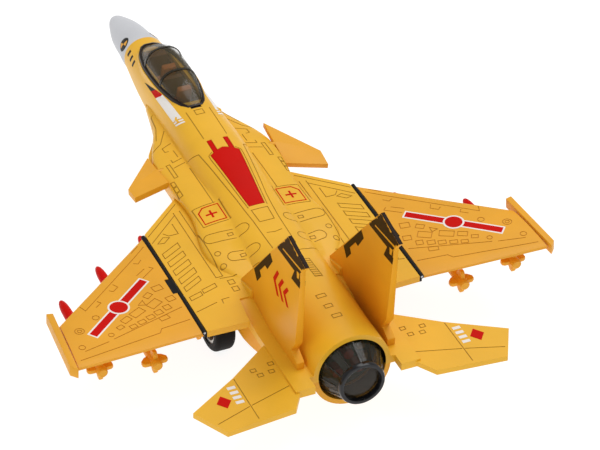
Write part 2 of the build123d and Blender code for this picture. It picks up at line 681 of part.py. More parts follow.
def gear(axis, teeth, x_low, x_high, tooth_angle, bore):
    """Spur gear along X with one tooth at the given angle."""
    pitch_r = GEAR_MODULE * teeth / 2
    step = 360 / teeth
    corners = []
    for i in range(teeth):
        for share, radius in ((-0.30, pitch_r - 0.62), (-0.19, pitch_r), (-0.09, pitch_r + 0.4),
                              (0.09, pitch_r + 0.4), (0.19, pitch_r), (0.30, pitch_r - 0.62)):
            turn = radians(tooth_angle + step * (i + share))
            corners.append((at(axis[0]) + radius * cos(turn), axis[1] + radius * sin(turn)))
    with BuildPart() as wheel:
        with BuildSketch(beside(x_low)):
            Polygon(*corners, align=None)
        extrude(amount=x_high - x_low)
        add(rod_x(axis[0], axis[1], bore, x_low - 1, x_high + 1), mode=Mode.SUBTRACT)
    return wheel.part


AXLE_AXIS = (AXLE_STATION, TYRE_R)
axle_to_idler = mesh_angle(AXLE_AXIS, IDLER_AXIS)
idler_to_spring = mesh_angle(IDLER_AXIS, SPRING_AXIS)

save(gear(AXLE_AXIS, AXLE_TEETH, -1.0, 1.0, axle_to_idler, AXLE_R), "axle_gear")

with BuildPart() as idler_gear:
    add(gear(IDLER_AXIS, IDLER_TEETH, -1.0, 1.0, axle_to_idler + 180 + 180 / IDLER_TEETH, 0.8))
    add(gear(IDLER_AXIS, PINION_TEETH, 1.0, 3.4, idler_to_spring, 0.8))
save(idler_gear.part, "idler_gear")

save(rod_x(*IDLER_AXIS, 0.8, -7.6, 7.6), "idler_shaft")
save(gear(SPRING_AXIS, SPRING_TEETH, 1.4, 3.2, idler_to_spring + 180 + 180 / SPRING_TEETH, 1.2), "spring_gear")
save(rod_x(*SPRING_AXIS, 1.2, -7.6, 7.6), "spring_arbor")

SPIRAL_TURNS = 3.5
SPIRAL_INNER_R = 1.7
SPIRAL_PITCH = 0.95
SPIRAL_THICK = 0.3


def spiral(extra):
    """Points along the mainspring's coil, moved outwards by a little."""
    points = []
    count = int(SPIRAL_TURNS * 10)
    for i in range(count + 1):
        turn = 2 * pi * i / 10
        radius = SPIRAL_INNER_R + SPIRAL_PITCH * i / 10 + extra
        points.append((at(SPRING_AXIS[0]) + radius * cos(turn), SPRING_AXIS[1] + radius * sin(turn)))
    return points


with BuildPart() as mainspring:
    with BuildSketch(beside(-6.6)):
        with BuildLine():
            inner = Spline(*spiral(0))
            outer = Spline(*spiral(SPIRAL_THICK))
            Line(inner @ 0, outer @ 0)
            Line(inner @ 1, outer @ 1)
        make_face()
    extrude(amount=5.6)
save(mainspring.part, "mainspring")


def motor_half(low, high, wall_low, wall_high):
    """One half of the motor case: a tray with bearings for its three shafts."""
    inner_low = low + wall_low
    inner_high = high - wall_high
    with BuildPart() as half:
        add(block(low, high, MOTOR[2], MOTOR[3], *MOTOR_Z))
        chamfer(half.edges().filter_by(Axis.X), 1.2)
        add(block(inner_low, inner_high, MOTOR[2] + 0.7, MOTOR[3] - 0.7, MOTOR_Z[0] + 0.7, MOTOR_Z[1] - 0.7),
            mode=Mode.SUBTRACT)
        for axis, radius in ((AXLE_AXIS, AXLE_R), (IDLER_AXIS, 0.8), (SPRING_AXIS, 1.2)):
            add(rod_x(*axis, radius + RUN, low - 1, high + 1), mode=Mode.SUBTRACT)
    return half.part


save(motor_half(0.0, MOTOR[1], 0.0, 0.9), "motor_case_port")
save(motor_half(MOTOR[0], 0.0, 0.9, 0.0), "motor_case_starboard")

# ------------------------------------------------------------------ rear axle and wheels


def wheel_hub(station, z, radius, low, high, bore, spokes):
    """Spoked hub along X: rim, centre boss and spokes."""
    thick = high - low
    with BuildPart() as hub:
        add(rod_x(station, z, radius, low, high))
        add(rod_x(station, z, radius - 0.9, low + thick * 0.3, high + 1), mode=Mode.SUBTRACT)
        add(rod_x(station, z, bore + 0.9, low, high))
        for i in range(spokes):
            spoke = block(low + thick * 0.25, high - 0.6, station - 0.45, station + 0.45, z + bore, z + radius - 0.5)
            add(spoke.rotate(Axis((0, at(station), z), (1, 0, 0)), 360 * i / spokes))
        add(rod_x(station, z, bore, low - 1, high + 1), mode=Mode.SUBTRACT)
    return hub.part


def tyre(station, z, outer_r, inner_r, low, high, round_r):
    """Tyre along X with rounded shoulders."""
    with BuildPart() as ring:
        add(rod_x(station, z, outer_r, low, high))
        fillet(ring.edges().filter_by(GeomType.CIRCLE), round_r)
        add(rod_x(station, z, inner_r, low - 1, high + 1), mode=Mode.SUBTRACT)
    return ring.part


WHEEL_INNER_X = TYRE_OUTER_X - TYRE_WIDTH

for side in ("port", "starboard"):
    hub = wheel_hub(AXLE_STATION, TYRE_R, HUB_R, WHEEL_INNER_X + 0.4, TYRE_OUTER_X - 0.4, AXLE_R, 6)
    rubber = tyre(AXLE_STATION, TYRE_R, TYRE_R, HUB_R, WHEEL_INNER_X, TYRE_OUTER_X, 1.4)
    save(on_side(hub, side), side + "_wheel_hub")
    save(on_side(rubber, side), side + "_tyre")

save(rod_x(AXLE_STATION, TYRE_R, AXLE_R, -TYRE_OUTER_X + 0.6, TYRE_OUTER_X - 0.6), "rear_axle")

# ------------------------------------------------------------------ nose gear

NOSE_HUB_R = 3.1
NOSE_AXLE_R = 0.8
NOSE_WHEEL_X = 2.0

with BuildPart() as nose_strut:
    add(block(-1.35, 1.35, 58.15, 61.85, 7.0, 14.1))
    add(rod_x(NOSE_AXLE_STATION, NOSE_TYRE_R, 2.0, -1.35, 1.35))
    add(block(-1.35, 1.35, 59.0, 61.0, 4.5, 8.0))
    add(block(-3.0, 3.0, 57.0, 63.0, 14.1, 15.1))
    add(rod_x(NOSE_AXLE_STATION, NOSE_TYRE_R, NOSE_AXLE_R + RUN, -3, 3), mode=Mode.SUBTRACT)
save(nose_strut.part, "nose_gear_strut")

save(rod_x(NOSE_AXLE_STATION, NOSE_TYRE_R, NOSE_AXLE_R, -4.6, 4.6), "nose_axle")

nose_hub = wheel_hub(NOSE_AXLE_STATION, NOSE_TYRE_R, NOSE_HUB_R, NOSE_WHEEL_X, NOSE_WHEEL_X + NOSE_TYRE_WIDTH,
                     NOSE_AXLE_R, 5)
nose_rubber = tyre(NOSE_AXLE_STATION, NOSE_TYRE_R, NOSE_TYRE_R, NOSE_HUB_R, NOSE_WHEEL_X,
                   NOSE_WHEEL_X + NOSE_TYRE_WIDTH, 0.8)

with BuildPart() as nose_hubs:
    for side in ("port", "starboard"):
        add(on_side(nose_hub, side))
save(nose_hubs.part, "nose_wheel_hubs")

with BuildPart() as nose_tyres:
    for side in ("port", "starboard"):
        add(on_side(nose_rubber, side))
save(nose_tyres.part, "nose_tyres")
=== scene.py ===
import json
from math import atan2, cos, pi, radians, sin, tan

import bmesh
import bpy
from mathutils import Euler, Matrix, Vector
from mathutils.bvhtree import BVHTree
from mathutils.geometry import delaunay_2d_cdt


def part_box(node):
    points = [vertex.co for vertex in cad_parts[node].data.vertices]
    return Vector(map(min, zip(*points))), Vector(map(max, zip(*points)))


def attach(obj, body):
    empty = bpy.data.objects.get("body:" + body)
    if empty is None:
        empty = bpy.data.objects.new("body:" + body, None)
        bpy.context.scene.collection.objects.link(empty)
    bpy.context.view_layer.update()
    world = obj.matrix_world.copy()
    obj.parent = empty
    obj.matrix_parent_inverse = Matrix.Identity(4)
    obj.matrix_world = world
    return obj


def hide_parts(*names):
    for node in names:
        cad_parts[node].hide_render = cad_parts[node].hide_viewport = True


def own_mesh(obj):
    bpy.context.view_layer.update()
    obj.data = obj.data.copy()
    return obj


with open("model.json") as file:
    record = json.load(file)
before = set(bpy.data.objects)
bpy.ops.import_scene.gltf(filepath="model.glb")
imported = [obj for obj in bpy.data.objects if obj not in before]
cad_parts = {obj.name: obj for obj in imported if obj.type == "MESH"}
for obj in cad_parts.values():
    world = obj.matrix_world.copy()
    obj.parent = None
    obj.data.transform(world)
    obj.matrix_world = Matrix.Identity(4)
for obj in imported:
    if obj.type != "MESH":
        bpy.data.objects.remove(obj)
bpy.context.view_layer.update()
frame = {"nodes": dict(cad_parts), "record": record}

# ---- units and places
# Places are written in millimetres as (x, station, z), where the station is the distance aft of the
# nose tip, the port wing is towards +x and z is the height above the surface that the tyres stand on.

MM = 0.001
NOSE_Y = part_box("radome")[0].y
SIDES = (("port", 1), ("starboard", -1))


def at(x, station, z):
    """A point in the frame, in metres."""
    return Vector((x * MM, NOSE_Y + station * MM, z * MM))


# ---- materials


def linear(hex_color):
    """Linear colour of a hex sRGB one."""
    values = [int(hex_color[i:i + 2], 16) / 255 for i in (0, 2, 4)]
    return [v / 12.92 if v <= 0.04045 else ((v + 0.055) / 1.055) ** 2.4 for v in values]


def finish_material(name, color, rough, patch=0.06, patch_scale=70, grain=0.10, grain_scale=2600,
                    coat=0.0, metallic=0.0, alpha=1.0, specular=0.3):
    """Surface with soft patches of tone, a fine moulded or sprayed grain and uneven gloss."""
    material = bpy.data.materials.new(name)
    material.use_nodes = True
    nodes, links = material.node_tree.nodes, material.node_tree.links
    shader = nodes["Principled BSDF"]
    shader.inputs["Metallic"].default_value = metallic
    shader.inputs["Coat Weight"].default_value = coat
    shader.inputs["Coat Roughness"].default_value = 0.25
    shader.inputs["Alpha"].default_value = alpha
    shader.inputs["Specular IOR Level"].default_value = specular
    place = nodes.new("ShaderNodeTexCoord")
    tone = nodes.new("ShaderNodeTexNoise")
    tone.inputs["Scale"].default_value = patch_scale
    tone.inputs["Detail"].default_value = 4
    links.new(place.outputs["Object"], tone.inputs["Vector"])
    ramp = nodes.new("ShaderNodeValToRGB")
    base = linear(color)
    ramp.color_ramp.elements[0].position = 0.30
    ramp.color_ramp.elements[1].position = 0.72
    ramp.color_ramp.elements[0].color = [c * (1 - patch) for c in base] + [1]
    ramp.color_ramp.elements[1].color = [min(1, c * (1 + patch * 0.6)) for c in base] + [1]
    links.new(tone.outputs["Fac"], ramp.inputs["Fac"])
    links.new(ramp.outputs["Color"], shader.inputs["Base Color"])
    gloss = nodes.new("ShaderNodeMapRange")
    gloss.inputs["To Min"].default_value = max(0.02, rough - 0.07)
    gloss.inputs["To Max"].default_value = min(1.0, rough + 0.07)
    links.new(tone.outputs["Fac"], gloss.inputs["Value"])
    links.new(gloss.outputs["Result"], shader.inputs["Roughness"])
    fine = nodes.new("ShaderNodeTexNoise")
    fine.inputs["Scale"].default_value = grain_scale
    fine.inputs["Detail"].default_value = 2
    links.new(place.outputs["Object"], fine.inputs["Vector"])
    bump = nodes.new("ShaderNodeBump")
    bump.inputs["Strength"].default_value = grain
    bump.inputs["Distance"].default_value = 0.0001
    links.new(fine.outputs["Fac"], bump.inputs["Height"])
    links.new(bump.outputs["Normal"], shader.inputs["Normal"])
    return material


PAINT = finish_material("yellow_paint", "EFB528", 0.40, coat=0.1)
# The two groove colours are the paint and the plastic made darker: painted shade inside the engraved panel
# lines.
PAINT_GROOVE_SHADE = finish_material("yellow_paint_groove_shade", "B98822", 0.6)
PLASTIC = finish_material("orange_plastic", "EBA624", 0.46, grain=0.14)
PLASTIC_GROOVE_SHADE = finish_material("orange_plastic_groove_shade", "CB8718", 0.6)
FIN_PLASTIC = finish_material("fin_plastic", "ECA61E", 0.44, grain=0.12)
GREY = finish_material("radome_grey", "CDCED2", 0.5)
RED = finish_material("red_print", "CC120A", 0.5, patch=0.08, specular=0.05)
RED_LACQUER = finish_material("red_lacquer", "CC0E04", 0.4, specular=0.06)
WHITE = finish_material("white_print", "F1ECE6", 0.5)
DARK = finish_material("dark_print", "26150A", 0.45, specular=0.1)
BLACK = finish_material("black_plastic", "181716", 0.45, specular=0.15)
TYRE = finish_material("tyre_rubber", "12100F", 0.6, grain=0.35, grain_scale=1500, specular=0.12)
SILVER = finish_material("hub_silver", "B9B7B2", 0.28, metallic=0.8, grain=0.05)
STEEL = finish_material("bright_steel", "B5B5B8", 0.3, metallic=1.0, grain=0.08)
BRASS = finish_material("contact_plate", "C9A857", 0.35, metallic=1.0, grain=0.08)
NYLON = finish_material("gear_nylon", "DEDCD2", 0.5)
SEAT = finish_material("seat_brown", "C46E28", 0.6, grain=0.3, grain_scale=1800)
TUB = finish_material("cockpit_brown", "6A3C18", 0.55, grain=0.2)
BOARD = finish_material("circuit_green", "1D5A34", 0.35, coat=0.3)
CHIP = finish_material("component_tan", "B89A5A", 0.5)
LAMP = finish_material("lamp_lens", "C63A2A", 0.2, coat=0.6)
SMOKE = finish_material("smoked_canopy", "5A5238", 0.06, patch=0.1, grain=0.01, alpha=0.30, coat=0.5)
SMOKE_FRAME = finish_material("canopy_frame", "2E291E", 0.16, grain=0.02, alpha=0.8, coat=0.1)
SMOKE_RIM = finish_material("canopy_rim", "1C110C", 0.3, specular=0.2)
NOZZLE_SMOKE = finish_material("smoked_nozzle", "2A2112", 0.08, patch=0.1, grain=0.01, alpha=0.5, coat=0.3)
NOZZLE_RIB = finish_material("nozzle_rib", "2A261C", 0.12, grain=0.02, alpha=0.85, coat=0.3)
RING = finish_material("nozzle_ring", "101013", 0.2, grain=0.03, coat=0.15)

NODE_FINISH = {
    "radome": GREY, "dorsal_button": RED_LACQUER, "belly_shell": PLASTIC, "battery_cover": PLASTIC,
    "cockpit_tub": TUB, "nose_gear_strut": BLACK, "speaker": BLACK, "canopy_hinge_pin": BLACK,
    "tact_switch": BLACK, "motor_case_port": BLACK, "motor_case_starboard": BLACK, "circuit_board": BOARD,
    "switch_board": BOARD, "lamps": LAMP, "board_components": CHIP, "seats": SEAT,
    "battery_contacts": BRASS, "axle_gear": NYLON, "idler_gear": NYLON, "spring_gear": NYLON,
    "upper_body": PAINT, "nozzle": NOZZLE_SMOKE, "nozzle_end_ring": RING, "canopy": SMOKE,
}
WORD_FINISH = (("wheel_hub", SILVER), ("tyre", TYRE), ("fold_hinge", BLACK), ("fold_leaf", BLACK),
               ("missile", PLASTIC), ("outer_wing", PLASTIC), ("tip_rail", PLASTIC), ("canard", PLASTIC),
               ("_fin", FIN_PLASTIC))


def node_finish(name):
    """The material of a CAD node: its own, or that of its kind, or bright steel for the hardware."""
    for word, material in WORD_FINISH:
        if word in name:
            return NODE_FINISH.get(name, material)
    return NODE_FINISH.get(name, STEEL)


for node_name, node in frame["nodes"].items():
    for material_slot in node.material_slots:
        material_slot.material = node_finish(node_name)

# ---- mesh helpers

BODY_OF = {n: body for body, members in frame["record"]["behaviour"]["bodies"].items() for n in members}


def linked(name, data):
    """A new object with a mesh, lamp or camera, in the scene."""
    obj = bpy.data.objects.new(name, data)
    bpy.context.scene.collection.objects.link(obj)
    return obj


def mesh_object(name, verts, faces, materials, smooth_angle=None):
    """A new object from points in metres."""
    mesh = bpy.data.meshes.new(name)
    mesh.from_pydata([tuple(v) for v in verts], [], faces)
    for material in materials:
        mesh.materials.append(material)
    obj = linked(name, mesh)
    tidy(obj)
    if smooth_angle is not None:
        shade(obj, smooth_angle)
    return obj


def tidy(obj):
    """Merge doubles and point the faces outwards."""
    bm = bmesh.new()
    bm.from_mesh(obj.data)
    bmesh.ops.remove_doubles(bm, verts=bm.verts, dist=1e-6)
    bmesh.ops.recalc_face_normals(bm, faces=bm.faces)
    bm.to_mesh(obj.data)
    bm.free()


def shade(obj, angle):
    """Smooth shading, with a crease where the surface turns by more than the angle."""
    mesh = obj.data
    mesh.polygons.foreach_set("use_smooth", [True] * len(mesh.polygons))
    mesh.set_sharp_from_angle(angle=radians(angle))


def copy_of(node_name, name, material):
    """A welded copy of a CAD node's mesh."""
    source = frame["nodes"][node_name]
    bm = bmesh.new()
    bm.from_mesh(source.data)
    bmesh.ops.remove_doubles(bm, verts=bm.verts, dist=1e-6)
    for face in bm.faces:
        face.material_index = 0
    mesh = bpy.data.meshes.new(name)
    bm.to_mesh(mesh)
    bm.free()
    mesh.materials.append(material)
    for layer in [a.name for a in mesh.attributes if a.name == "custom_normal"]:
        mesh.attributes.remove(mesh.attributes[layer])
    return linked(name, mesh)


def round_edges(bm, edges, width):
    """Bevel edges by a width in millimetres."""
    bmesh.ops.bevel(bm, geom=edges, offset=width * MM, offset_type="OFFSET", segments=2, profile=0.6,
                    affect="EDGES", clamp_overlap=True)


def add_prism(bm, low, high):
    """Closed prism between two rings of points with the same number of corners."""
    rings = [[bm.verts.new(point) for point in ring] for ring in (low, high)]
    bm.faces.new(rings[0])
    bm.faces.new(list(reversed(rings[1])))
    for a in range(len(low)):
        b = (a + 1) % len(low)
        bm.faces.new((rings[0][b], rings[0][a], rings[1][a], rings[1][b]))


def rounded_object(name, bm, material, width):
    """An object from the prisms in a bmesh, with every edge rounded."""
    bmesh.ops.recalc_face_normals(bm, faces=bm.faces)
    round_edges(bm, list(bm.edges), width)
    mesh = bpy.data.meshes.new(name)
    bm.to_mesh(mesh)
    bm.free()
    mesh.materials.append(material)
    obj = linked(name, mesh)
    shade(obj, 50)
    return obj


def apply_modifier(obj, kind, **settings):
    """Apply one modifier to an object's mesh."""
    modifier = obj.modifiers.new(kind.lower(), kind)
    for key, value in settings.items():
        setattr(modifier, key, value)
    graph = bpy.context.evaluated_depsgraph_get()
    mesh = bpy.data.meshes.new_from_object(obj.evaluated_get(graph))
    old = obj.data
    obj.modifiers.clear()
    obj.data = mesh
    bpy.data.meshes.remove(old)


def stand_in(obj, node_name):
    """Show a piece in place of a CAD node, on that node's body."""
    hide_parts(node_name)
    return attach(obj, BODY_OF[node_name])


def fitting(obj, node_name):
    """A piece that goes on a CAD node without hiding it."""
    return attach(obj, BODY_OF[node_name])


class Surface:
    """An object's surface seen along a direction, with coordinates in millimetres on the plane across it."""

    def __init__(self, obj, u_axis, v_axis):
        points = [obj.matrix_world @ v.co for v in obj.data.vertices]
        self.tree = BVHTree.FromPolygons(points, [tuple(p.vertices) for p in obj.data.polygons])
        self.u, self.v = Vector(u_axis).normalized(), Vector(v_axis).normalized()
        self.out = self.u.cross(self.v)
        self.origin = Vector((0, NOSE_Y, 0))

    def hit(self, u, v):
        """The first point met from outside, or None."""
        start = self.origin + self.u * (u * MM) + self.v * (v * MM) + self.out * 0.5
        return self.tree.ray_cast(start, -self.out)[0]

    def lifted(self, u, v, lift):
        """The point met from outside, raised above the surface by some millimetres."""
        found = self.hit(u, v)
        return None if found is None else found + self.out * (lift * MM)


def resample(points, step, closed):
    """Points along a polyline at most a step apart, corners kept."""
    out = []
    loop = list(points) + ([points[0]] if closed else [])
    for (xa, ya), (xb, yb) in zip(loop, loop[1:]):
        length = ((xb - xa) ** 2 + (yb - ya) ** 2) ** 0.5
        count = max(1, int(length / step + 0.999))
        out += [(xa + (xb - xa) * i / count, ya + (yb - ya) * i / count) for i in range(count)]
    if not closed:
        out.append(loop[-1])
    return out


def groove_cutter(surface, points, closed, width, depth):
    """Thin wall that follows a line on a surface, to be cut out of it."""
    path = resample(points, 1.5, closed)
    count = len(path)
    verts = []
    for i, (x, y) in enumerate(path):
        before = path[(i - 1) % count] if closed or i else path[0]
        after = path[(i + 1) % count] if closed or i < count - 1 else path[-1]
        along_in = Vector((x - before[0], y - before[1]))
        along_out = Vector((after[0] - x, after[1] - y))
        along_in = along_in.normalized() if along_in.length > 1e-6 else along_out.normalized()
        along_out = along_out.normalized() if along_out.length > 1e-6 else along_in
        mean = (along_in + along_out).normalized()
        side = Vector((-mean.y, mean.x)) * (width / 2 / max(0.5, mean.dot(along_in)))
        for sign in (1, -1):
            u, v = x + side.x * sign, y + side.y * sign
            low = surface.lifted(u, v, -depth)
            high = surface.lifted(u, v, 0.5)
            if low is None:
                return None
            verts += [low, high]
    faces = []
    for i in range(count if closed else count - 1):
        a, b = 4 * i, 4 * ((i + 1) % count)
        faces += [(a, b, b + 1, a + 1), (a + 3, b + 3, b + 2, a + 2), (a + 1, b + 1, b + 3, a + 3),
                  (a + 2, b + 2, b, a)]
    if not closed:
        last = 4 * (count - 1)
        faces += [(0, 1, 3, 2), (last + 2, last + 3, last + 1, last)]
    return verts, faces


def boxes_meet(a, b, margin=0.4):
    """Whether two outlines' bounding boxes overlap, with a margin."""
    for k in (0, 1):
        a_values, b_values = [p[k] for p in a], [p[k] for p in b]
        if min(a_values) - margin >= max(b_values) or min(b_values) - margin >= max(a_values):
            return False
    return True


def cut(obj, verts, faces, material):
    """Cut a closed shape out of an object; the cut faces take the material."""
    cutter = mesh_object("cutter", verts, faces, [material])
    apply_modifier(obj, "BOOLEAN", operation="DIFFERENCE", solver="MANIFOLD", object=cutter,
                   material_mode="TRANSFER")
    bpy.data.objects.remove(cutter)


def engrave(obj, surface, lines, groove_shade_material, width=0.26, depth=0.16):
    """Cut panel lines, given as (points, closed), into an object in batches that don't cross; the cut faces
    take a darker material, painted shade in the grooves.
    """
    batches = []
    for points, closed in lines:
        for batch in batches:
            if not any(boxes_meet(points, other) for other, _ in batch):
                batch.append((points, closed))
                break
        else:
            batches.append([(points, closed)])
    for batch in batches:
        verts, faces = [], []
        for points, closed in batch:
            made = groove_cutter(surface, points, closed, width, depth)
            if made is None:
                print("line off the surface:", points[0])
                continue
            faces += [tuple(i + len(verts) for i in face) for face in made[1]]
            verts += made[0]
        if verts:
            cut(obj, verts, faces, groove_shade_material)


def grid_inside(rings, border, step):
    """Points of a square grid that lie inside closed rings and clear of their border points."""
    xs, ys = [p.x for p in border], [p.y for p in border]
    found = []
    x = min(xs) + step
    while x < max(xs):
        y = min(ys) + step
        while y < max(ys):
            if inside((x, y), rings) and all((p - Vector((x, y))).length > step * 0.45 for p in border):
                found.append(Vector((x, y)))
            y += step
        x += step
    return found


def sheet(top, low, triangles):
    """Points and faces of a closed sheet between two layers of points."""
    count = len(top)
    faces = [tuple(t) for t in triangles] + [tuple(i + count for i in reversed(t)) for t in triangles]
    sides = dict.fromkeys(pair for t in triangles for pair in pairs(t))
    faces += [(b, a, a + count, b + count) for a, b in sides if (b, a) not in sides]
    used = sorted({i for face in faces for i in face})
    number = {old: new for new, old in enumerate(used)}
    points = top + low
    return [points[i] for i in used], [tuple(number[i] for i in face) for face in faces]


def pad(name, surface, outline, material, holes=(), lift=0.06, sink=0.1, step=0.8):
    """Printed mark: a thin closed pad that follows the surface inside an outline."""
    rings = [resample(outline, step, True)] + [resample(hole, step, True) for hole in holes]
    points, edges = [], []
    for ring in rings:
        start = len(points)
        points += [Vector(p) for p in ring]
        edges += [(start + i, start + (i + 1) % len(ring)) for i in range(len(ring))]
    points += grid_inside(rings, points, step)
    flat, _, triangles, _, _, _ = delaunay_2d_cdt(points, edges, [], 0, 1e-5)
    keep = [t for t in triangles if inside(centre(flat, t), rings)]
    top = [surface.lifted(p.x, p.y, lift) for p in flat]
    low = [surface.lifted(p.x, p.y, -sink) for p in flat]
    keep = [t for t in keep if all(top[i] is not None for i in t) and drop_of(surface, top, t) < 3.0 * step]
    return mesh_object(name, *sheet(top, low, keep), [material], smooth_angle=40)


def drop_of(surface, points, indices):
    """How far a triangle's corners differ in depth, in millimetres."""
    depths = [points[i].dot(surface.out) / MM for i in indices]
    return max(depths) - min(depths)


def spread(low, high, count):
    """Evenly spaced values from low to high, with a number of steps between them."""
    return [low + (high - low) * i / count for i in range(count + 1)]


def centre(points, indices):
    """The mean of some of the points."""
    total = Vector((0, 0))
    for i in indices:
        total += points[i]
    return tuple(total / len(indices))


def pairs(ring):
    """Each item of a closed ring with the one after it."""
    return list(zip(ring, list(ring[1:]) + [ring[0]]))


def inside(point, rings):
    """Even-odd test of a point against closed rings."""
    x, y = point
    odd = False
    for ring in rings:
        for (xa, ya), (xb, yb) in pairs(ring):
            if (ya > y) != (yb > y) and x < xa + (y - ya) * (xb - xa) / (yb - ya):
                odd = not odd
    return odd


# ---- flat outlines


def sided(points, sign):
    """A port outline as it is for sign 1, or its mirror image for sign -1."""
    return [(sign * x, y) for x, y in points]


def both(lines):
    """Port lines and their mirror images."""
    return [(sided(points, sign), closed) for points, closed in lines for sign in (1, -1)]


def box_at(x, y, width, height, turn=0.0):
    """Rectangle about a centre, turned by some degrees."""
    c, s = cos(radians(turn)), sin(radians(turn))
    corners = [(-width / 2, -height / 2), (width / 2, -height / 2),
               (width / 2, height / 2), (-width / 2, height / 2)]
    return [(x + a * c - b * s, y + a * s + b * c) for a, b in corners]


def circle_at(x, y, radius, count=20):
    """Circle about a centre, as a polygon."""
    turns = [2 * pi * i / count for i in range(count)]
    return [(x + radius * cos(turn), y + radius * sin(turn)) for turn in turns]


def plus_at(x, y, reach, half):
    """Upright plus sign about a centre."""
    corner, points = [(-half, -reach), (half, -reach), (half, -half)], []
    for _ in range(4):
        points += corner
        corner = [(-b, a) for a, b in corner]
    return [(x + a, y + b) for a, b in points]


def slot_between(a, b, radius, count=8):
    """Oval with round ends about two centres."""
    turn = atan2(b[1] - a[1], b[0] - a[0])
    points = []
    for middle, start in ((b, turn - pi / 2), (a, turn + pi / 2)):
        for i in range(count + 1):
            angle = start + pi * i / count
            points.append((middle[0] + radius * cos(angle), middle[1] + radius * sin(angle)))
    return points


def slanted_box(x_low, x_high, y_low, height, slope):
    """Parallelogram with upright ends, leaning aft by a slope."""
    rise = (x_high - x_low) * slope
    return [(x_low, y_low), (x_high, y_low + rise), (x_high, y_low + rise + height), (x_low, y_low + height)]


def band(a, b, width):
    """Straight bar from a to b."""
    length = ((b[0] - a[0]) ** 2 + (b[1] - a[1]) ** 2) ** 0.5
    nx, ny = -(b[1] - a[1]) / length * width / 2, (b[0] - a[0]) / length * width / 2
    return [(a[0] + nx, a[1] + ny), (b[0] + nx, b[1] + ny), (b[0] - nx, b[1] - ny), (a[0] - nx, a[1] - ny)]


# ---- upper body: panel lines and printed marks

HATCH = [(8.9, 110.4), (13.9, 110.4), (15.7, 112.2), (15.7, 117.9), (8.9, 117.9)]
DIAMOND = [(37.3, 182.9), (39.4, 185.6), (37.3, 188.3), (35.2, 185.6)]

BODY_LINES = both([
    ([(3.7, 72.5), (3.6, 86.6)], False),
    ([(3.6, 93.0), (5.0, 94.0), (5.0, 96.0), (2.9, 119.0)], False),
    ([(9.9, 88.4), (8.0, 90.2), (7.0, 91.0), (5.6, 105.0), (4.5, 114.5), (3.8, 125.0), (3.5, 138.5)], False),
    ([(9.9, 91.0), (9.9, 109.4)], False),
    ([(8.2, 109.6), (16.5, 109.6), (16.5, 118.7), (8.2, 118.7)], True),
    ([(18.7, 105.0), (18.7, 138.6), (20.7, 138.6), (20.7, 105.4)], False),
    ([(18.6, 101.6), (31.4, 113.5)], False),
    ([(20.7, 106.6), (31.4, 116.8)], False),
    ([(22.9, 110.2), (22.9, 115.2), (25.8, 115.2), (27.0, 113.6)], False),
    ([(25.9, 116.0), (28.2, 118.0), (30.0, 117.6), (27.6, 115.3)], True),
    *[(slanted_box(24.7, 30.6, 119.2 + 4.2 * i, 2.3, 0.58), True) for i in range(4)],
    (slanted_box(24.9, 30.6, 136.0, 2.0, 0.58), True),
    (slot_between((7.3, 125.3), (16.6, 124.1), 1.9), True),
    (box_at(10.8, 124.8, 1.5, 1.1), True),
    (slot_between((7.6, 134.6), (13.2, 133.4), 1.75), True),
    (box_at(10.6, 134.0, 1.5, 1.1), True),
    (circle_at(17.0, 130.6, 0.85), True),
    (circle_at(17.2, 135.6, 0.85), True),
    ([(14.9, 139.9), (19.9, 139.3)], False),
    (box_at(17.5, 142.0, 1.7, 1.9), True),
    (box_at(17.5, 145.3, 1.7, 2.0), True),
    (slanted_box(22.0, 26.4, 140.8, 1.7, 0.32), True),
    (slanted_box(27.0, 30.8, 142.8, 1.7, 0.32), True),
    ([(20.6, 148.2), (22.9, 148.4), (23.1, 150.2)], False),
    ([(24.6, 149.0), (31.4, 151.0)], False),
    # strake and shoulder, forward
    ([(9.1, 58.5), (9.8, 59.0), (10.9, 66.0), (13.3, 72.6)], False),
    ([(9.4, 69.0), (9.9, 69.8), (13.0, 75.3), (16.2, 77.5)], False),
    ([(10.2, 76.5), (13.4, 77.8), (13.4, 80.0), (12.2, 80.2)], False),
    ([(10.9, 80.4), (10.9, 84.2)], False),
    ([(10.0, 85.2), (13.3, 86.2), (13.3, 84.6)], False),
    ([(10.0, 87.7), (14.0, 88.9)], False),
    (box_at(15.0, 90.0, 1.1, 6.8), True),
    *[(box_at(16.8, 95.9 + 2.5 * i, 1.1, 2.1), True) for i in range(3)],
    # tail
    (box_at(2.8, 151.6, 2.2, 9.4), True),
    (box_at(19.6, 175.3, 1.5, 1.3), True),
    (box_at(20.6, 178.4, 1.5, 1.3), True),
    (box_at(25.1, 176.3, 1.5, 1.3), True),
    (box_at(24.0, 178.8, 1.5, 1.3), True),
    ([(31.25, 177.5), (31.25, 195.4)], False),
    ([(18.6, 185.9), (30.9, 189.6)], False),
    ([(31.6, 189.8), (42.0, 193.4)], False),
    *[(band((1.9, 147.6 + i), (3.7, 148.2 + i), 0.1)[:2], False) for i in range(9)],
]) + [
    ([(-2.5, 120.2), (2.5, 120.2), (2.2, 125.9), (-2.2, 125.9)], True),
    ([(-2.3, 131.2), (0.0, 131.7), (2.3, 131.2)], False),
    ([(-10.0, 139.3), (-6.0, 141.6), (0.0, 142.6), (6.0, 141.6), (10.0, 139.3)], False),
    (box_at(0.0, 74.0, 2.6, 2.2), True),
    (box_at(0.6, 165.6, 2.6, 1.5), True),
    (box_at(0.6, 170.6, 2.2, 1.5), True),
    (box_at(0.2, 175.4, 2.6, 1.5), True),
]

# The tunnel behind the lamps, made black as painted shade inside the casting: first station, height of its
# axis and radius.
SHADED_TUNNEL = (166.0, 17.2, 10.2)


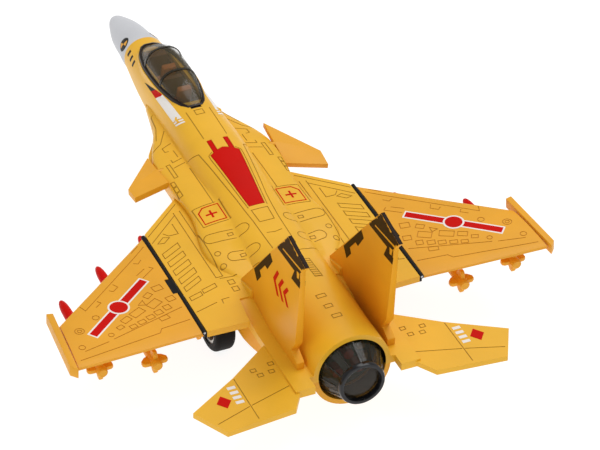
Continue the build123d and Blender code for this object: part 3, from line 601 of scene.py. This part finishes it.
def paint_tunnel_shade(obj, material):
    """Painted shade: the faces of the tail that stand behind the lamps take a dark material."""
    start, axis_z, radius = SHADED_TUNNEL
    obj.data.materials.append(material)
    for polygon in obj.data.polygons:
        height = polygon.center.z / MM - axis_z
        from_axis = (polygon.center.x ** 2 / MM ** 2 + height ** 2) ** 0.5
        if polygon.center.y > NOSE_Y + start * MM and from_axis < radius:
            polygon.material_index = len(obj.data.materials) - 1


body_source = frame["nodes"]["upper_body"]
body_top = Surface(body_source, (1, 0, 0), (0, 1, 0))
body = copy_of("upper_body", "upper_body_engraved", PAINT)
engrave(body, body_top, BODY_LINES, PAINT_GROOVE_SHADE)
# Painted shade: the casting's faces inside the tunnel behind the lamps are made black.
paint_tunnel_shade(body, BLACK)
shade(body, 52)
stand_in(body, "upper_body")


def body_mark(name, surface, outline, material, holes=()):
    """Printed mark on the casting."""
    return fitting(pad(name, surface, outline, material, holes), "upper_body")


def shrunk(outline, amount):
    """A convex outline moved inwards."""
    mx = sum(x for x, _ in outline) / len(outline)
    my = sum(y for _, y in outline) / len(outline)
    out = []
    for x, y in outline:
        dx, dy = x - mx, y - my
        length = (dx * dx + dy * dy) ** 0.5
        out.append((x - dx / length * amount, y - dy / length * amount))
    return out


def top_marks(side, sign):
    """Hatch outline with a plus, and a diamond with four bars on the tail."""
    outline = sided(HATCH, sign)
    body_mark(side + "_hatch_frame", body_top, outline, RED, [shrunk(outline, 0.42)])
    body_mark(side + "_hatch_plus", body_top, sided(plus_at(12.3, 114.2, 1.7, 0.3), sign), RED)
    body_mark(side + "_tail_diamond", body_top, sided(DIAMOND, sign), RED)
    for i in range(4):
        bar = box_at(sign * 33.3, 180.8 + 2.1 * i, 2.3, 1.15)
        body_mark(side + "_tail_bar_%d" % i, body_top, bar, WHITE)


for side, sign in SIDES:
    top_marks(side, sign)

# Marks on the flanks of the nose, seen square to the slope they lie on.
FLANK_X, FLANK_Z = 0.8, 0.6
WEDGE = (("black", BLACK, [(47.2, 17.6), (52.9, 17.8), (55.3, 19.7)]),
         ("red", RED, [(52.9, 17.8), (57.2, 17.8), (59.9, 20.8), (55.3, 19.7)]),
         ("white", WHITE, [(57.2, 17.8), (72.0, 18.3), (73.6, 21.2), (59.9, 20.7)]))
NOSE_DISC = (23.4, 18.1)


def flank(obj, sign):
    """The side of the forward body: u is the station and v climbs the slope."""
    v_axis = Vector((-FLANK_Z * sign, 0, FLANK_X))
    surface = Surface(obj, (0, 1, 0), v_axis)
    if surface.out.x * sign < 0:
        surface.out = -surface.out
    return surface


def flank_marks(side, sign):
    """Plain wedge with two stripes, and three bars, on one side of the forward body."""
    slope = flank(body_source, sign)
    for label, material, outline in WEDGE:
        body_mark(side + "_wedge_" + label, slope, outline, material)
    for i in range(2):
        start = 72.6 + 1.2 * i
        stripe = [(start, 18.3), (start + 0.7, 18.3), (start + 2.3, 21.3), (start + 1.6, 21.3)]
        body_mark(side + "_wedge_stripe_%d" % i, slope, stripe, WHITE)
    for i in range(3):
        bar = box_at(29.4 + 2.9 * i, 18.2 - 0.25 * i, 1.1, 2.0, -4)
        body_mark(side + "_nose_bar_%d" % i, slope, bar, BLACK)


def nose_disc(side, sign):
    """Dark disc with two light wedges on one side of the radome."""
    x, y = NOSE_DISC
    nose = flank(frame["nodes"]["radome"], sign)
    fitting(pad(side + "_nose_disc", nose, circle_at(x, y, 2.3, 28), BLACK, step=0.6), "radome")
    for i, turn in enumerate((45, 225)):
        arc = [radians(turn + a) for a in range(-34, 35, 17)]
        wedge = [(x, y)] + [(x + 1.8 * cos(a), y + 1.8 * sin(a)) for a in arc]
        fitting(pad(side + "_nose_wedge_%d" % i, nose, wedge, FIN_PLASTIC, lift=0.12, step=0.6), "radome")


for side, sign in SIDES:
    flank_marks(side, sign)
    nose_disc(side, sign)

# ---- outer wings

WING_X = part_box("port_outer_wing")[0].x / MM
TIP_FRONT_X, TIP_REAR_X = 68.6, 69.9
ROOT_CHORD = (112.9, 159.8)
TIP_CHORD = (143.9, 163.2)
DIHEDRAL = tan(radians(3.0))
WING_TOP = 21.5
# Share of the chord, and heights of the upper and the lower face above the wing's plane.
WING_PROFILE = [(0.0, -0.95, -1.15), (0.006, -0.55, -1.5), (0.02, -0.28, -1.75), (0.06, -0.1, -1.9),
                (0.15, 0.05, -2.0), (0.3, 0.2, -2.0), (0.45, 0.25, -2.0), (0.6, 0.18, -1.95),
                (0.75, 0.05, -1.8), (0.9, -0.12, -1.5), (0.985, -0.25, -1.3), (1.0, -0.45, -1.2)]
# The notch for the fold leaf: x, stations and heights, low and high.
FOLD_POCKET = (WING_X - 1, 34.5, 134.2, 141.1, 20.3, 24.0)


def wing_mesh(name, sign):
    """Outer wing with a rounded leading edge, a low crown and a thin trailing edge."""
    spans = 24
    verts, faces = [], []
    ring = len(WING_PROFILE) * 2
    loop = [(row[0], row[1]) for row in WING_PROFILE] + [(row[0], row[2]) for row in reversed(WING_PROFILE)]
    for share in spread(0, 1, spans):
        front = ROOT_CHORD[0] + (TIP_CHORD[0] - ROOT_CHORD[0]) * share
        rear = ROOT_CHORD[1] + (TIP_CHORD[1] - ROOT_CHORD[1]) * share
        for chord_share, rise in loop:
            x = WING_X + (TIP_FRONT_X - WING_X + (TIP_REAR_X - TIP_FRONT_X) * chord_share) * share
            z = WING_TOP + rise + (x - WING_X) * DIHEDRAL
            verts.append(at(sign * x, front + (rear - front) * chord_share, z))
    for i in range(spans):
        for k in range(ring):
            a, b = i * ring + k, i * ring + (k + 1) % ring
            faces.append((a, b, b + ring, a + ring))
    faces += [tuple(range(ring)), tuple(reversed(range(spans * ring, (spans + 1) * ring)))]
    return mesh_object(name, verts, faces, [PLASTIC])


def box_verts(sign, x_low, x_high, front, rear, bottom, top):
    """Points and faces of a box on the port side, or its mirror image."""
    verts = [at(sign * x, y, z) for x in (x_low, x_high) for y in (front, rear) for z in (bottom, top)]
    faces = [(0, 1, 3, 2), (4, 6, 7, 5), (0, 4, 5, 1), (2, 3, 7, 6), (0, 2, 6, 4), (1, 5, 7, 3)]
    return verts, faces


WING_LINES = [
    ([(34.2, 117.2), (38.4, 121.2), (59.8, 140.4), (60.6, 137.9)], False),
    ([(35.6, 116.2), (38.6, 118.9)], False),
    ([(37.2, 123.1), (38.6, 124.6), (39.8, 123.9)], False),
    ([(48.6, 131.4), (47.7, 133.0), (49.6, 134.6), (50.6, 133.7)], False),
    ([(55.4, 137.3), (54.6, 138.4), (56.6, 140.0)], False),
    ([(36.4, 127.0), (35.4, 128.0), (39.6, 131.4)], False),
    ([(37.8, 127.4), (41.0, 129.8)], False),
    (box_at(37.7, 137.2, 2.8, 2.2, 12), True),
    (box_at(41.4, 139.6, 2.4, 1.7, 38), True),
    (box_at(35.9, 142.8, 2.4, 2.0, 14), True),
    (box_at(41.0, 143.6, 4.0, 2.6, 33), True),
    ([(43.6, 141.2), (45.4, 142.9), (43.4, 143.4)], True),
    (box_at(38.2, 146.2, 2.0, 1.9, 14), True),
    (box_at(41.2, 147.6, 2.2, 1.8, 14), True),
    (box_at(44.0, 148.9, 2.2, 1.6, 16), True),
    (box_at(47.0, 150.2, 2.2, 1.5, 16), True),
    (box_at(49.9, 151.3, 2.0, 1.4, 16), True),
    (box_at(46.8, 145.9, 4.2, 2.4, 30), True),
    (box_at(50.8, 148.0, 2.8, 1.9, 30), True),
    (box_at(53.4, 150.6, 1.9, 1.4, 24), True),
    (box_at(40.6, 150.4, 2.8, 1.6, 14), True),
    ([(34.2, 147.3), (56.8, 154.8)], False),
    ([(34.2, 153.2), (43.0, 154.6), (44.0, 156.2), (68.4, 160.6)], False),
    ([(58.4, 155.4), (66.0, 157.4)], False),
    (circle_at(56.9, 152.9, 0.75), True),
    (circle_at(58.3, 144.4, 0.95), True),
    (circle_at(64.5, 148.7, 1.3), True),
    (circle_at(64.5, 148.7, 0.6), True),
    (circle_at(66.2, 155.6, 0.9), True),
]

BAR_START, BAR_END = (40.0, 132.6), (61.6, 151.6)
BADGE = ((BAR_START[0] + BAR_END[0]) / 2, (BAR_START[1] + BAR_END[1]) / 2)


def on_bar(share):
    """A point on the bar's middle line."""
    return tuple(a + (b - a) * share for a, b in zip(BAR_START, BAR_END))


# Name, outline, material and lift above the wing, from the lowest layer up.
WING_MARKS = (("bar_border", band(on_bar(-0.016), on_bar(1.016), 3.3), WHITE, 0.03),
              ("bar_inner", band(BAR_START, on_bar(0.425), 2.3), RED, 0.06),
              ("bar_outer", band(on_bar(0.575), BAR_END, 2.3), RED, 0.06),
              ("badge_border", circle_at(*BADGE, 3.1, 32), WHITE, 0.08),
              ("badge", circle_at(*BADGE, 2.55, 32), RED, 0.11))


def outer_wing(side, sign):
    """Outer wing with its notch, its panel lines and a plain disc on a bar."""
    node_name = side + "_outer_wing"
    wing = wing_mesh(node_name + "_shell", sign)
    cut(wing, *box_verts(sign, *FOLD_POCKET), PLASTIC)
    wing_top = Surface(wing, (1, 0, 0), (0, 1, 0))
    lines = [(sided(points, sign), closed) for points, closed in WING_LINES]
    engrave(wing, wing_top, lines, PLASTIC_GROOVE_SHADE, width=0.24, depth=0.14)
    shade(wing, 32)
    stand_in(wing, node_name)
    for part, outline, material, lift in WING_MARKS:
        mark = pad("%s_wing_%s" % (side, part), wing_top, sided(outline, sign), material, lift=lift)
        fitting(mark, node_name)


for side, sign in SIDES:
    outer_wing(side, sign)

# ---- pieces that keep the CAD's shape with softer edges

# Edges that turn by more than this many degrees are rounded.
CORNER = 30


def softened(node_name, material, width):
    """A copy of a CAD node with its flat faces joined up and its edges rounded."""
    obj = copy_of(node_name, node_name + "_moulded", material)
    bm = bmesh.new()
    bm.from_mesh(obj.data)
    bmesh.ops.dissolve_limit(bm, angle_limit=radians(1.0), verts=bm.verts, edges=bm.edges)
    sharp = [e for e in bm.edges if len(e.link_faces) == 2 and e.calc_face_angle(0) > radians(CORNER)
             and e.is_convex]
    round_edges(bm, sharp, width)
    bmesh.ops.triangulate(bm, faces=[f for f in bm.faces if len(f.verts) > 4])
    bm.to_mesh(obj.data)
    bm.free()
    shade(obj, 40)
    return obj


SOFTENED = (("_canard", PLASTIC, 0.3), ("_tip_rail", PLASTIC, 0.25), ("_fold_leaf", BLACK, 0.1))
for side, _ in SIDES:
    for kind, material, width in SOFTENED:
        stand_in(softened(side + kind, material, width), side + kind)
stand_in(softened("seats", SEAT, 0.4), "seats")

# ---- belly shell

# The intake trunks stand in under the strakes: they are narrow at the front and lean in towards the keel.
TRUNK_FRONT = 84.0
TRUNK_INNER = 9.4
TRUNK_NARROW = (106.0, 126.0)
TRUNK_FLOOR, TRUNK_TOP = 7.6, 16.0
# Share of the width that is taken off at the front, and what the lean adds to it at the floor.
TRUNK_LESS, TRUNK_LEAN = 0.42, 0.2


def trunk_share(station, z):
    """Share of the trunk's width that is kept at a station and height."""
    start, end = TRUNK_NARROW
    ramp = min(1.0, max(0.0, (end - station) / (end - start)))
    lean = min(1.0, max(0.0, (TRUNK_TOP - z) / (TRUNK_TOP - TRUNK_FLOOR)))
    return 1 - ramp * (TRUNK_LESS + TRUNK_LEAN * lean)


def belly_mesh():
    """A copy of the belly shell with narrower trunks, sliced so that they can taper."""
    obj = copy_of("belly_shell", "belly_shell_moulded", PLASTIC)
    bm = bmesh.new()
    bm.from_mesh(obj.data)
    for station in spread(TRUNK_FRONT, TRUNK_NARROW[1], 14):
        everything = list(bm.verts) + list(bm.edges) + list(bm.faces)
        bmesh.ops.bisect_plane(bm, geom=everything, dist=1e-7, plane_co=at(0, station, 0),
                               plane_no=(0, 1, 0))
    for vert in bm.verts:
        station, z, x = (vert.co.y - NOSE_Y) / MM, vert.co.z / MM, abs(vert.co.x) / MM
        if x > TRUNK_INNER and station < TRUNK_NARROW[1] and z < TRUNK_TOP + 0.1:
            kept = TRUNK_INNER + (x - TRUNK_INNER) * trunk_share(station, z)
            vert.co.x *= kept / x
    bm.to_mesh(obj.data)
    bm.free()
    shade(obj, 35)
    return obj


stand_in(belly_mesh(), "belly_shell")

# ---- fins

FIN_CAP = [(166.2, 49.6), (173.9, 58.25), (185.6, 55.4), (184.2, 53.6), (170.8, 52.1), (170.6, 51.5),
           (183.4, 52.7), (182.4, 46.7), (176.9, 46.3), (178.8, 50.1)]
CAP_WINDOW = [(180.4, 48.9), (181.6, 49.1), (182.2, 51.4), (180.2, 51.1)]
# Above this height the fin's upward and forward edges are dark too.
CAP_FOOT = 49.5
LEADING_PATCH = [(151.2, 31.7), (162.3, 44.6), (164.0, 42.9), (160.5, 37.9), (158.9, 38.1), (155.2, 33.8),
                 (156.2, 32.4), (153.4, 28.9)]


def chevron(start, height, reach, thick):
    """Open arrowhead that points forward."""
    x, z = start
    return [(x, z), (x + reach, z + height), (x + reach + thick, z + height - 0.3), (x + thick * 1.2, z),
            (x + reach + thick, z - height + 0.3), (x + reach, z - height)]


# Share of the fin's thickness that is left at its tip, and of its height below which it keeps it all.
FIN_TIP_SHARE, FIN_STRAIGHT_SHARE = 0.5, 0.25
# Foot in front of the fin: stations with heights above a spot on the skin, its two sides, and the spot.
FAIRING = [(142.4, -1.5), (150.6, -1.5), (150.6, 2.0), (148.6, 1.8), (143.2, 0.3)]
FAIRING_SIDES = (11.7, 15.1)
FAIRING_SPOT = (13.4, 146.0)


def taper_fin(fin, node_name):
    """Thin a fin towards its tip, about its own middle plane."""
    low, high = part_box(node_name)
    middle = (low.x + high.x) / 2
    start = low.z + FIN_STRAIGHT_SHARE * (high.z - low.z)
    for vert in fin.data.vertices:
        climb = max(0.0, (vert.co.z - start) / (high.z - start))
        vert.co.x = middle + (vert.co.x - middle) * (1 - (1 - FIN_TIP_SHARE) * climb)


def fin_fairing(name, sign):
    """Small moulded foot in front of a fin."""
    bm = bmesh.new()
    skin = body_top.hit(sign * FAIRING_SPOT[0], FAIRING_SPOT[1]).z / MM
    add_prism(bm, *[[at(sign * x, station, skin + rise) for station, rise in FAIRING] for x in FAIRING_SIDES])
    return rounded_object(name, bm, PAINT, 0.35)


def paint_cap_edges(fin):
    """Darken the fin's upward and forward edges at its tip."""
    fin.data.materials.append(DARK)
    for polygon in fin.data.polygons:
        on_edge = polygon.normal.z > 0.25 or polygon.normal.y < -0.4
        if on_edge and polygon.center.z > CAP_FOOT * MM:
            polygon.material_index = 1


def dark_marks(surface, node_name, tag):
    """Dark tip and dark patch on one face of a fin."""
    for label, outline, holes in (("cap", FIN_CAP, [CAP_WINDOW]), ("patch", LEADING_PATCH, [])):
        fitting(pad("%s_fin_%s" % (tag, label), surface, outline, DARK, holes, step=0.6), node_name)


def red_chevrons(surface, node_name, tag):
    """Three plain chevrons on the outer face of a fin."""
    for i in range(3):
        outline = chevron((164.6 + 3.4 * i, 38.0), 4.2 - 0.5 * i, 2.6, 1.3)
        fitting(pad("%s_fin_chevron_%d" % (tag, i), surface, outline, RED), node_name)


def upright_fin(side, sign):
    """Fin with its foot, its thinned tip and its marks."""
    node_name = side + "_fin"
    fitting(fin_fairing(node_name + "_fairing", sign), "upper_body")
    fin = softened(node_name, FIN_PLASTIC, 0.22)
    taper_fin(fin, node_name)
    paint_cap_edges(fin)
    for face_sign in (1, -1):
        surface = Surface(fin, (0, 1, 0), (0, 0, 1))
        surface.out = Vector((face_sign, 0, 0))
        tag = side + ("_outer" if face_sign == sign else "_inner")
        dark_marks(surface, node_name, tag)
        if face_sign == sign:
            red_chevrons(surface, node_name, tag)
    stand_in(fin, node_name)


for side, sign in SIDES:
    upright_fin(side, sign)

# ---- canopy

CANOPY_ROWS = [(31.9, 1.2, 0.3), (33.0, 2.7, 1.2), (36.5, 4.35, 3.1), (40.0, 5.2, 4.9), (43.4, 5.75, 6.1),
               (46.5, 5.95, 6.35), (50.0, 6.0, 6.1), (54.0, 5.9, 5.7), (57.0, 5.7, 5.25), (60.5, 5.25, 4.55),
               (63.0, 4.8, 3.9), (66.0, 4.1, 2.9), (68.5, 3.3, 1.8), (70.3, 2.1, 0.6)]
SILL = ((31.6, 29.75), (70.9, 31.05))
ARCH_STEPS = 22
ARCH_WIDTH = 0.8
# Across the rim, outwards from the glass, and up from the sill.
RIM_PROFILE = [(-0.6, -0.2), (-0.6, 0.6), (-0.15, 1.0), (0.45, 0.75), (0.7, -0.2)]


def sill(station):
    """Height of the canopy's foot at a station."""
    return SILL[0][1] + (SILL[1][1] - SILL[0][1]) * (station - SILL[0][0]) / (SILL[1][0] - SILL[0][0])


def canopy_row(station):
    """Half width and height of the canopy at a station, smoothly between its rows."""
    rows = CANOPY_ROWS
    for i in range(len(rows) - 1):
        if rows[i][0] <= station <= rows[i + 1][0]:
            share = (station - rows[i][0]) / (rows[i + 1][0] - rows[i][0])
            before, after = rows[max(i - 1, 0)], rows[min(i + 2, len(rows) - 1)]
            out = []
            for k in (1, 2):
                p0, p1, p2, p3 = before[k], rows[i][k], rows[i + 1][k], after[k]
                out.append(p1 + 0.5 * share * (p2 - p0 + share * (2 * p0 - 5 * p1 + 4 * p2 - p3
                                                                 + share * (3 * (p1 - p2) + p3 - p0))))
            return out
    return rows[-1][1:]


def signed_power(value, power):
    """A power of a value's size, with the value's sign."""
    return abs(value) ** power * (1 if value >= 0 else -1)


def arch_point(station, share, grow=0.0):
    """A point of the canopy's skin: share runs from the port sill over the top to the starboard sill."""
    width, height = canopy_row(station)
    turn = pi * share
    x = (width + grow) * signed_power(cos(turn), 0.85)
    z = sill(station) + (height + grow) * abs(sin(turn)) ** 0.85
    return at(x, station, z)


def shell_strip(name, stations, shares, inner, outer, material):
    """Closed curved strip of the canopy between two offsets from its skin."""
    rows, columns = len(stations), len(shares)
    verts = [arch_point(s, t, grow) for grow in (outer, inner) for s in stations for t in shares]
    layer = rows * columns
    faces = []
    for i in range(rows - 1):
        for j in range(columns - 1):
            a = i * columns + j
            quad = (a, a + 1, a + columns + 1, a + columns)
            faces += [quad, tuple(v + layer for v in reversed(quad))]
    rim = (list(range(columns)) + [(i + 1) * columns - 1 for i in range(1, rows)]
           + [(rows - 1) * columns + j for j in reversed(range(columns - 1))]
           + [i * columns for i in reversed(range(1, rows - 1))])
    faces += [(b, a, a + layer, b + layer) for a, b in pairs(rim)]
    return mesh_object(name, verts, faces, [material], smooth_angle=45)


glass = shell_strip("canopy_glass", spread(32.0, 70.2, 48), spread(0, 1, ARCH_STEPS), -0.5, 0.0, SMOKE)
stand_in(glass, "canopy")
for label, station in (("windscreen_arch", 44.2), ("middle_arch", 56.6)):
    arch = shell_strip("canopy_" + label, spread(station - ARCH_WIDTH / 2, station + ARCH_WIDTH / 2, 2),
                       spread(0, 1, ARCH_STEPS), -0.1, 0.22, SMOKE_FRAME)
    fitting(arch, "canopy")


def torus_faces(rings, count):
    """Faces of closed rings of points, joined each to the next and the last to the first."""
    faces = []
    for i in range(rings):
        here, after = i * count, (i + 1) % rings * count
        for a, b in pairs(range(count)):
            faces.append((here + a, here + b, after + b, after + a))
    return faces


def rim_mesh():
    """Dark moulded rim round the foot of the canopy."""
    path = []
    for sign in (1, -1):
        stations = spread(32.0, 70.4, 40)
        for s in (stations if sign == 1 else reversed(stations)):
            path.append((sign * (canopy_row(s)[0] + 0.05), s))
    verts = []
    count = len(path)
    for i, (x, s) in enumerate(path):
        before, after = path[i - 1], path[(i + 1) % count]
        along = Vector((after[0] - before[0], after[1] - before[1])).normalized()
        out = Vector((along.y, -along.x))
        for across, up in RIM_PROFILE:
            verts.append(at(x + out.x * across, s + out.y * across, sill(s) + up))
    faces = torus_faces(count, len(RIM_PROFILE))
    return mesh_object("canopy_rim", verts, faces, [SMOKE_RIM], smooth_angle=50)


fitting(rim_mesh(), "canopy")

# ---- nozzle

NOZZLE_Z = 17.2
RIBS = 12
# Closed profiles of (station, radius). The cone is the petals' outer face, between two of their points.
CONE = ((184.4, 9.75), (191.2, 6.5))
PETALS = [(181.2, 9.7), CONE[0], CONE[1], (191.2, 5.9), (184.6, 9.0), (181.2, 9.0)]
END_BAND = [(191.1, 6.7), (192.0, 6.75), (192.5, 6.5), (192.6, 6.1), (192.5, 5.6), (191.9, 5.4),
            (190.8, 5.4), (190.8, 5.8), (191.1, 6.0)]
LENS = [(190.9, 5.5), (191.2, 5.5), (191.5, 3.6), (191.6, 1.8), (191.62, 0.02), (191.3, 0.02),
        (191.2, 1.8), (191.1, 3.6)]
RIB_HALF_WIDTH = 0.22


def about_axis(station, radius, turn):
    """A point at an angle about the nozzle's axis."""
    return at(radius * cos(turn), station, NOZZLE_Z + radius * sin(turn))


def turned(name, profile, count, material, smooth_angle):
    """Closed ring made by turning a profile of (station, radius) points."""
    turns = [2 * pi * i / count for i in range(count)]
    verts = [about_axis(station, radius, turn) for station, radius in profile for turn in turns]
    faces = torus_faces(len(profile), count)
    return mesh_object(name, verts, faces, [material], smooth_angle=smooth_angle)


def rib_mesh():
    """Low ribs along the cone, one on every second corner of the petals."""
    verts, faces = [], []
    for i in range(RIBS):
        middle = 2 * pi * i / RIBS
        start = len(verts)
        for station, radius in CONE:
            half = RIB_HALF_WIDTH / radius
            for grow, swing in ((-0.1, -half), (0.2, -half * 0.6), (0.2, half * 0.6), (-0.1, half)):
                verts.append(about_axis(station, radius + grow, middle + swing))
        faces += [tuple(start + k for k in (0, 1, 2, 3)), tuple(start + k for k in (7, 6, 5, 4))]
        faces += [tuple(start + k for k in (a, a + 4, (a + 1) % 4 + 4, (a + 1) % 4)) for a in range(4)]
    return mesh_object("nozzle_ribs", verts, faces, [NOZZLE_RIB], smooth_angle=30)


stand_in(turned("nozzle_petals", PETALS, RIBS * 2, NOZZLE_SMOKE, 8), "nozzle")
fitting(rib_mesh(), "nozzle")
stand_in(turned("nozzle_end_band", END_BAND, 64, RING, 35), "nozzle_end_ring")
fitting(turned("nozzle_lens", LENS, 48, NOZZLE_SMOKE, 40), "nozzle_end_ring")

# ---- missiles

# Name, x, station of the nose, height of the axis and station of the tail, for the port side.
MISSILES = [("inner", 30.2, 102.5, 14.0, 151.5), ("middle", 46.3, 111.0, 13.6, 160.0),
            ("outer", 62.2, 125.6, 16.6, 160.4)]
BODY_R = 1.45
RED_LENGTH = 15.0
NOSE_SHAPE = [(0.0, 0.05), (0.15, 0.35), (0.6, 0.68), (1.4, 0.98), (2.8, 1.24), (4.6, 1.40), (6.5, BODY_R)]
# Outline of a tail fin: distance from the axis, and station from the missile's tail.
TAIL_FIN = [(0.8, -5.4), (2.6, -4.6), (3.7, -3.4), (3.7, -2.2), (3.0, -1.7), (0.8, -1.6)]


def missile(name, x, nose_at, z, tail, sign):
    """Round body of a missile with a painted front."""
    count = 24
    stations = [(nose_at + a, r) for a, r in NOSE_SHAPE]
    stations += [(nose_at + RED_LENGTH, BODY_R), (tail - 6.5, BODY_R), (tail - 1.2, BODY_R + 0.1),
                 (tail - 0.3, BODY_R), (tail, BODY_R - 0.3)]
    verts, faces = [], []
    turns = [2 * pi * i / count for i in range(count)]
    for station, radius in stations:
        verts += [at(sign * x + radius * cos(turn), station, z + radius * sin(turn)) for turn in turns]
    for i in range(len(stations) - 1):
        for k in range(count):
            a, b = i * count + k, i * count + (k + 1) % count
            faces.append((a, b, b + count, a + count))
    faces += [tuple(reversed(range(count))), tuple(range((len(stations) - 1) * count, len(stations) * count))]
    obj = mesh_object(name, verts, faces, [PLASTIC, RED_LACQUER], smooth_angle=40)
    red_end = NOSE_Y + (nose_at + RED_LENGTH - 1) * MM
    for polygon in obj.data.polygons:
        if polygon.center.y < red_end:
            polygon.material_index = 1
    return obj


def add_plate(bm, corners, thick_axis, thick):
    """Flat plate about an outline."""
    add_prism(bm, *[[corner + thick_axis * (s * thick / 2 * MM) for corner in corners] for s in (1, -1)])


def missile_trim(name, x, nose_at, z, tail, sign):
    """Four tapered tail fins and the pylon."""
    bm = bmesh.new()
    root = at(sign * x, tail, z)
    for turn in range(4):
        radial = Vector((cos(pi / 2 * turn), 0, sin(pi / 2 * turn)))
        flat = Vector((-sin(pi / 2 * turn), 0, cos(pi / 2 * turn)))
        corners = [root + radial * (r * MM) + Vector((0, s * MM, 0)) for r, s in TAIL_FIN]
        add_plate(bm, corners, flat, 1.2)
    rise = max(0.0, x - WING_X) * DIHEDRAL
    under = WING_TOP - 1.9 + rise
    corners = [at(sign * x, s, h) for s, h in ((nose_at + 13, z + 0.5), (nose_at + 33, z + 0.5),
                                              (nose_at + 31, under), (nose_at + 15, under))]
    add_plate(bm, corners, Vector((1, 0, 0)), 1.5)
    return rounded_object(name, bm, PLASTIC, 0.28)


for side, sign in SIDES:
    for place, x, nose_at, z, tail in MISSILES:
        node_name = "%s_%s_missile" % (side, place)
        stand_in(missile(node_name + "_body", x, nose_at, z, tail, sign), node_name)
        fitting(missile_trim(node_name + "_fins", x, nose_at, z, tail, sign), node_name)

# ---- the button's spring

spring = copy_of("button_spring", "button_spring_wire", STEEL)
shade(spring, 40)
stand_in(spring, "button_spring")
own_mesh(spring)

# ---- floor, light and camera

# In metres: half the floor's width, and its height just under the tyres.
FLOOR_HALF, FLOOR_Z = 6.0, -0.0002
FLOOR = finish_material("floor_white", "8E8E8E", 0.9, patch=0.01, grain=0.0, specular=0.0)
corners = [(a * FLOOR_HALF, b * FLOOR_HALF, FLOOR_Z) for a, b in ((-1, -1), (1, -1), (1, 1), (-1, 1))]
floor = mesh_object("floor", corners, [(0, 1, 2, 3)], [FLOOR])
floor_shader = FLOOR.node_tree.nodes["Principled BSDF"]
floor_shader.inputs["Emission Color"].default_value = (1, 1, 1, 1)
floor_shader.inputs["Emission Strength"].default_value = 0.9


def area_light(name, place, size, power):
    """Large soft light aimed at the origin."""
    lamp = bpy.data.lights.new(name, "AREA")
    lamp.size = size
    lamp.energy = power
    obj = linked(name, lamp)
    obj.location = place
    obj.rotation_euler = (Vector((0, 0, 0)) - Vector(place)).to_track_quat("-Z", "Y").to_euler()


area_light("key", (-0.35, -0.15, 0.9), 0.7, 5.0)
area_light("fill", (0.7, 0.5, 0.6), 0.9, 1.6)

world = bpy.data.worlds.new("studio")
world.use_nodes = True
world.node_tree.nodes["Background"].inputs["Color"].default_value = (1, 1, 1, 1)
world.node_tree.nodes["Background"].inputs["Strength"].default_value = 0.5
bpy.context.scene.world = world
bpy.context.scene.view_settings.view_transform = "Standard"

camera = bpy.data.cameras.new("camera")
camera.sensor_width = 36.0
camera.lens = 175.98
camera.clip_end = 100.0
camera_object = linked("camera", camera)
camera_object.location = (0.25524, 0.64610, 0.51623)
camera_object.rotation_euler = Euler((radians(53.742), radians(-0.119), radians(156.879)), "XYZ")
bpy.context.scene.camera = camera_object
